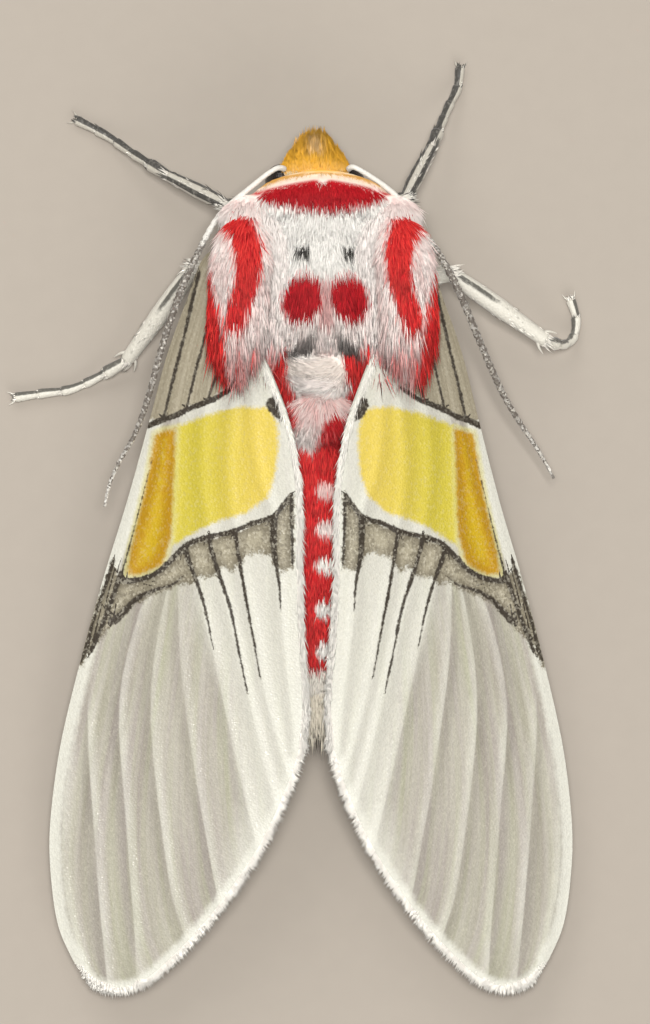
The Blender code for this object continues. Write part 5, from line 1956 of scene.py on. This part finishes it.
@dataclass
class Legs:
    """Six legs of coxa, femur, tibia and a jointed foot with two claws."""

    shop: Workshop
    lines: dict = field(default_factory=lambda: {
        "foreleg_left": (
            ((0.75, -8.15, 2.0), (1.15, -8.7, 1.45), (2.35, -8.78, 2.15), (3.93, -9.63, 1.4)),
            ((3.93, -9.63, 1.4), (4.88, -10.27, 0.72), (5.57, -10.77, 0.3), (6.42, -11.22, 0.22)),
        ),
        "foreleg_right": (
            ((-0.75, -8.15, 2.0), (-1.2, -8.75, 1.45), (-2.5, -8.98, 2.15), (-3.28, -10.44, 1.4)),
            ((-3.28, -10.44, 1.4), (-3.75, -11.5, 0.62), (-4.05, -12.1, 0.28), (-4.14, -12.7, 0.22)),
        ),
        "midleg_left": (
            ((0.85, -6.5, 1.8), (1.3, -6.6, 1.2), (3.25, -7.1, 2.1), (5.05, -4.6, 0.62)),
            ((5.05, -4.6, 0.62), (5.9, -4.12, 0.34), (6.6, -3.82, 0.22), (7.3, -3.72, 0.22),
             (8.1, -3.6, 0.22)),
        ),
        "midleg_right": (
            ((-0.85, -6.5, 1.8), (-1.3, -6.6, 1.2), (-3.75, -6.95, 2.1), (-6.4, -5.15, 1.45)),
            ((-6.4, -5.15, 1.45), (-6.9, -5.05, 0.8), (-7.25, -5.25, 0.32), (-7.35, -5.75, 0.22),
             (-7.2, -6.3, 0.22)),
        ),
        "hindleg_left": (
            ((0.8, -4.85, 1.75), (1.25, -4.6, 1.1), (2.6, -3.3, 1.3), (3.35, 0.1, 0.6)),
            ((3.35, 0.1, 0.6), (3.6, 1.1, 0.32), (3.9, 2.1, 0.22), (4.15, 3.1, 0.22)),
        ),
        "hindleg_right": (
            ((-0.8, -4.85, 1.75), (-1.25, -4.6, 1.1), (-2.6, -3.25, 1.3), (-3.2, 0.2, 0.6)),
            ((-3.2, 0.2, 0.6), (-3.4, 1.2, 0.32), (-3.6, 2.2, 0.22), (-3.75, 3.2, 0.22)),
        ),
    })
    foot_joints: int = 5
    tufts: tuple = (300, 750, 750, 130, 130, 130, 130, 130)
    foot_radius: float = 0.13
    claw_length: float = 0.32
    spur_length: float = 0.6

    @staticmethod
    def stripe(places: Array, normals: Array, ends: Array, pale: bool, toe: bool) -> Array:
        """How dark the scales are, in stripes along a leg.

        Args:
            places, normals: where the scales are, and the outward directions there.
            ends: the two ends of the rod.
            pale: whether the leg is a pale one.
            toe: whether the rod is a joint of the foot.

        Returns:
            A value for each place, 1 where it is dark.
        """
        along = unit(ends[1] - ends[0])
        front = unit(np.cross(UP, along))
        front = front if front[1] < 0 else -front
        turn = normals @ front
        share = ((places - ends[0]) @ along) / np.linalg.norm(ends[1] - ends[0])
        if toe:
            return 0.9 * soft_step(0.0, 0.3, turn) if pale else soft_step(-0.35, -0.1, turn)
        if pale:
            stripe = 0.9 * soft_step(-0.05, 0.08, turn) * soft_step(0.6, 0.45, turn)
            return stripe * soft_step(0.6, 0.3, share)
        lower = soft_step(-0.85, -0.75, turn) * soft_step(-0.1, -0.25, turn)
        return np.maximum(lower, soft_step(0.55, 0.7, turn))

    def segments(self, name: str) -> list[tuple[Form, int, int, float]]:
        """The leg's rods, each with its rows, columns and hair length.

        Args:
            name: the leg's node.

        Returns:
            The rods from coxa to the last foot joint.
        """
        (hip, trochanter, knee, ankle), toes = self.lines[name]
        slim = 0.8 if name.startswith("fore") else 1.0

        def rod(a: tuple, b: tuple, radii: tuple, cap: float) -> Form:
            """A rod between two joints, whose radii are spread evenly along it."""
            shares = np.linspace(0, 1, len(radii))
            return Form(rod_shape(Line((a, b)), lambda s: np.interp(s, shares, radii) * slim, cap, 0.9))

        made = [
            (rod(hip, trochanter, (0.34, 0.34, 0.28), 0.2), 24, 24, 0.25),
            (rod(trochanter, knee, (0.2, 0.27, 0.27, 0.22), 0.1), 48, 24, 0.3),
            (rod(knee, ankle, (0.2, 0.25, 0.26, 0.22, 0.19), 0.08), 48, 24, 0.3),
        ]
        foot = Line(toes)
        for joint in range(self.foot_joints):
            ends = [(joint + 0.02) / self.foot_joints, (joint + 1.04) / self.foot_joints]
            places = foot.at(np.linspace(ends[0], min(ends[1], 1.0), 5))
            places[:, 2] = np.maximum(places[:, 2], self.foot_radius * 1.15)
            radius = self.foot_radius * (1.35 if joint == 0 else 1.0)
            shape = rod_shape(
                Line(places), lambda s, r=radius: r * (0.78 + 0.3 * s), 0.2, 0.9,
            )
            made.append((Form(shape), 16, 16, 0.14))
        return made

    def leg(self, name: str) -> None:
        """Models a leg with its claws, spurs and hair."""
        pale = not name.startswith("fore")
        slot = Slot.PALE_LEG if pale else Slot.DARK_LEG
        parts, regions = [], []
        for number, (form, rows, columns, length) in enumerate(self.segments(name)):
            part = form.grid("rod", rows, columns)
            ends = form.shape(np.array((0.1, 0.9)), np.array((0.5, 0.5)))
            normals = rows_of(part.data, "normal")
            stripe = self.stripe(places_of(part.data), normals, ends, pale, number > 2)
            set_numbers(part.data, {"stripe": stripe})
            parts.append(part)
            regions.append((form, ends, length))
        for claw in self.claws(name):
            set_numbers(claw.data, {"stripe": np.zeros(len(claw.data.vertices))})
            claw.data.polygons.foreach_set("material_index", np.ones(len(claw.data.polygons), np.int32))
            parts.append(claw)
        scales = LimbScales("leg_scales_pale", "#5b5850", "#cdc8bb") if pale else LimbScales(
            "leg_scales_dark", "#3d3a35", "#b3ada0")
        obj = join(f"{name}_cuticle", parts)
        self.shop.hand_over(obj, slot, [scales, ClawChitin()], [name])
        self.hair(name, regions, pale, slot)

    def claws(self, name: str) -> list[bpy.types.Object]:
        """The two claws at the toe, and two spurs at the end of a mid or hind tibia."""
        (_, _, knee, ankle), toes = self.lines[name]
        foot, shin = Line(toes), Line((knee, ankle))
        made = []
        starts = [(foot.at(np.array(0.985)), foot.along(np.array(1.0)), self.claw_length, 0.045)]
        if not name.startswith("fore"):
            starts.append((shin.at(np.array(0.9)), shin.along(np.array(1.0)), self.spur_length, 0.07))
        for start, along, length, radius in starts:
            side = unit(np.cross(along, UP))
            for turn in (-1, 1):
                tip = start + unit(along + side * 0.7 * turn) * length
                tip[2] = max(tip[2] - 0.1, radius * 0.8)
                start_low = start.copy()
                start_low[2] = max(start[2], radius * 1.2)
                bend = (start_low + tip) / 2 + side * turn * 0.12 * length + UP * 0.08 * length
                line = Line((start_low, bend, tip))
                shape = rod_shape(line, lambda s, r=radius: r * (1.05 - s * 0.95), 0.08)
                made.append(Form(shape).grid("claw", 14, 10))
        return made

    @staticmethod
    def plain(places: Array) -> dict[str, Array]:
        """The marks of cream-white hair."""
        return plain_marks(len(places), cream=0.2)

    def hair(self, name: str, regions: list, pale: bool, slot: Slot) -> None:
        """Short scales that lie along the leg, longer below.

        Args:
            name: the leg's node.
            regions: the leg's rods with their ends and hair lengths.
            pale: whether the leg is a pale one.
            slot: the record's finish.
        """
        pelts = []
        for k, (form, ends, length) in enumerate(regions):
            along = unit(ends[1] - ends[0])
            width = 0.04 if k < 3 else 0.03
            region = Region(
                form, self.tufts[k], above(0.02, 0.1), straight(along), even(length), width, 0.06,
            )
            pelt = region.pelt(80 + k, self.plain)
            dark = self.stripe(pelt.roots, pelt.normals, ends, pale, k > 2)
            pelt.marks["black"] = 0.85 * dark if pale else 0.15 + 0.75 * dark
            pelts.append(pelt)
        obj = merge_pelts(pelts, 9).build(f"{name}_hair")
        floor = places_of(obj.data)
        floor[:, 2] = np.maximum(floor[:, 2], 0.004)
        set_places(obj.data, floor)
        self.shop.hand_over(obj, slot, [HairScales("hair_scales")], [])


# Studio


@dataclass
class Studio:
    """A plain pale floor, soft lights and the camera of the photograph."""

    rig: Rig
    aim: tuple = (-0.27, -0.46, 3.0)
    distance: float = 160.0
    tilt: float = math.radians(3.0)
    seen_height: float = 27.68

    def build(self) -> None:
        """Sets up floor, lights, world and camera."""
        self.floor()
        self.light("key_light", (10, -12, 230), 0.045, 0.52)
        self.light("fill_light", (60, -130, 150), 0.12, 0.13)
        self.light("rear_light", (-60, 150, 150), 0.12, 0.13)
        world = bpy.data.worlds.new("pale_room")
        world.use_nodes = True
        sky = world.node_tree.nodes["Background"]
        sky.inputs[0].default_value = linear("#f6f4f0")
        sky.inputs[1].default_value = 0.32
        bpy.context.scene.world = world
        bpy.context.scene.view_settings.view_transform = "Standard"
        self.camera()

    def floor(self) -> None:
        """A wide flat card at floor level."""
        deselect()
        bpy.ops.mesh.primitive_plane_add(size=1.2, location=(0, 0, 0))
        card = bpy.context.active_object
        card.name = card.data.name = "floor"
        card.data.materials.append(PaperFloor().material())

    def light(self, name: str, place: tuple, size: float, power: float) -> None:
        """A soft square light that faces the moth.

        Args:
            name: its name.
            place: where it stands, in millimetres about the midline.
            size: its side in metres.
            power: its power in watts.
        """
        lamp = bpy.data.lights.new(name, "AREA")
        lamp.shape, lamp.size, lamp.energy = "SQUARE", size, power
        obj = bpy.data.objects.new(name, lamp)
        bpy.context.scene.collection.objects.link(obj)
        start = Vector(self.rig.world(np.array(place, float)))
        target = Vector(self.rig.world(np.array(self.aim)))
        obj.location = start
        obj.rotation_euler = (target - start).to_track_quat("-Z", "Y").to_euler()

    def camera(self) -> None:
        """Looks straight down with the head up, leaning a little from the moth's left."""
        lens = bpy.data.cameras.new("camera")
        lens.sensor_width = 36.0
        lens.lens = 36.0 * self.distance / self.seen_height
        lens.clip_start, lens.clip_end = 0.01, 5.0
        obj = bpy.data.objects.new("camera", lens)
        bpy.context.scene.collection.objects.link(obj)
        target = Vector(self.rig.world(np.array(self.aim)))
        back = Vector((math.sin(self.tilt), 0, math.cos(self.tilt)))
        right = Vector((0, -1, 0)).cross(back).normalized()
        top = back.cross(right)
        turn = Matrix((right, top, back)).transposed().to_4x4()
        obj.matrix_world = Matrix.Translation(target + back * self.distance * METRES) @ turn
        bpy.context.scene.camera = obj


def main() -> None:
    """Builds the moth part by part, then the studio round it."""
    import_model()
    rig = Rig.from_frame()
    shop = Workshop(rig)
    markings = Markings()
    body = Body(shop, markings)
    body.skin()
    body.coat()
    wings, face, legs = Wings(shop), Face(shop), Legs(shop)
    for side in Side:
        wings.forewing(side)
        wings.hindwing(side)
        face.eye(side)
        face.palp(side)
        face.antenna(side)
    for name in legs.lines:
        legs.leg(name)
    Studio(rig).build()


if __name__ == "__main__":
    logging.basicConfig(level=logging.INFO, format="%(message)s")
    main()
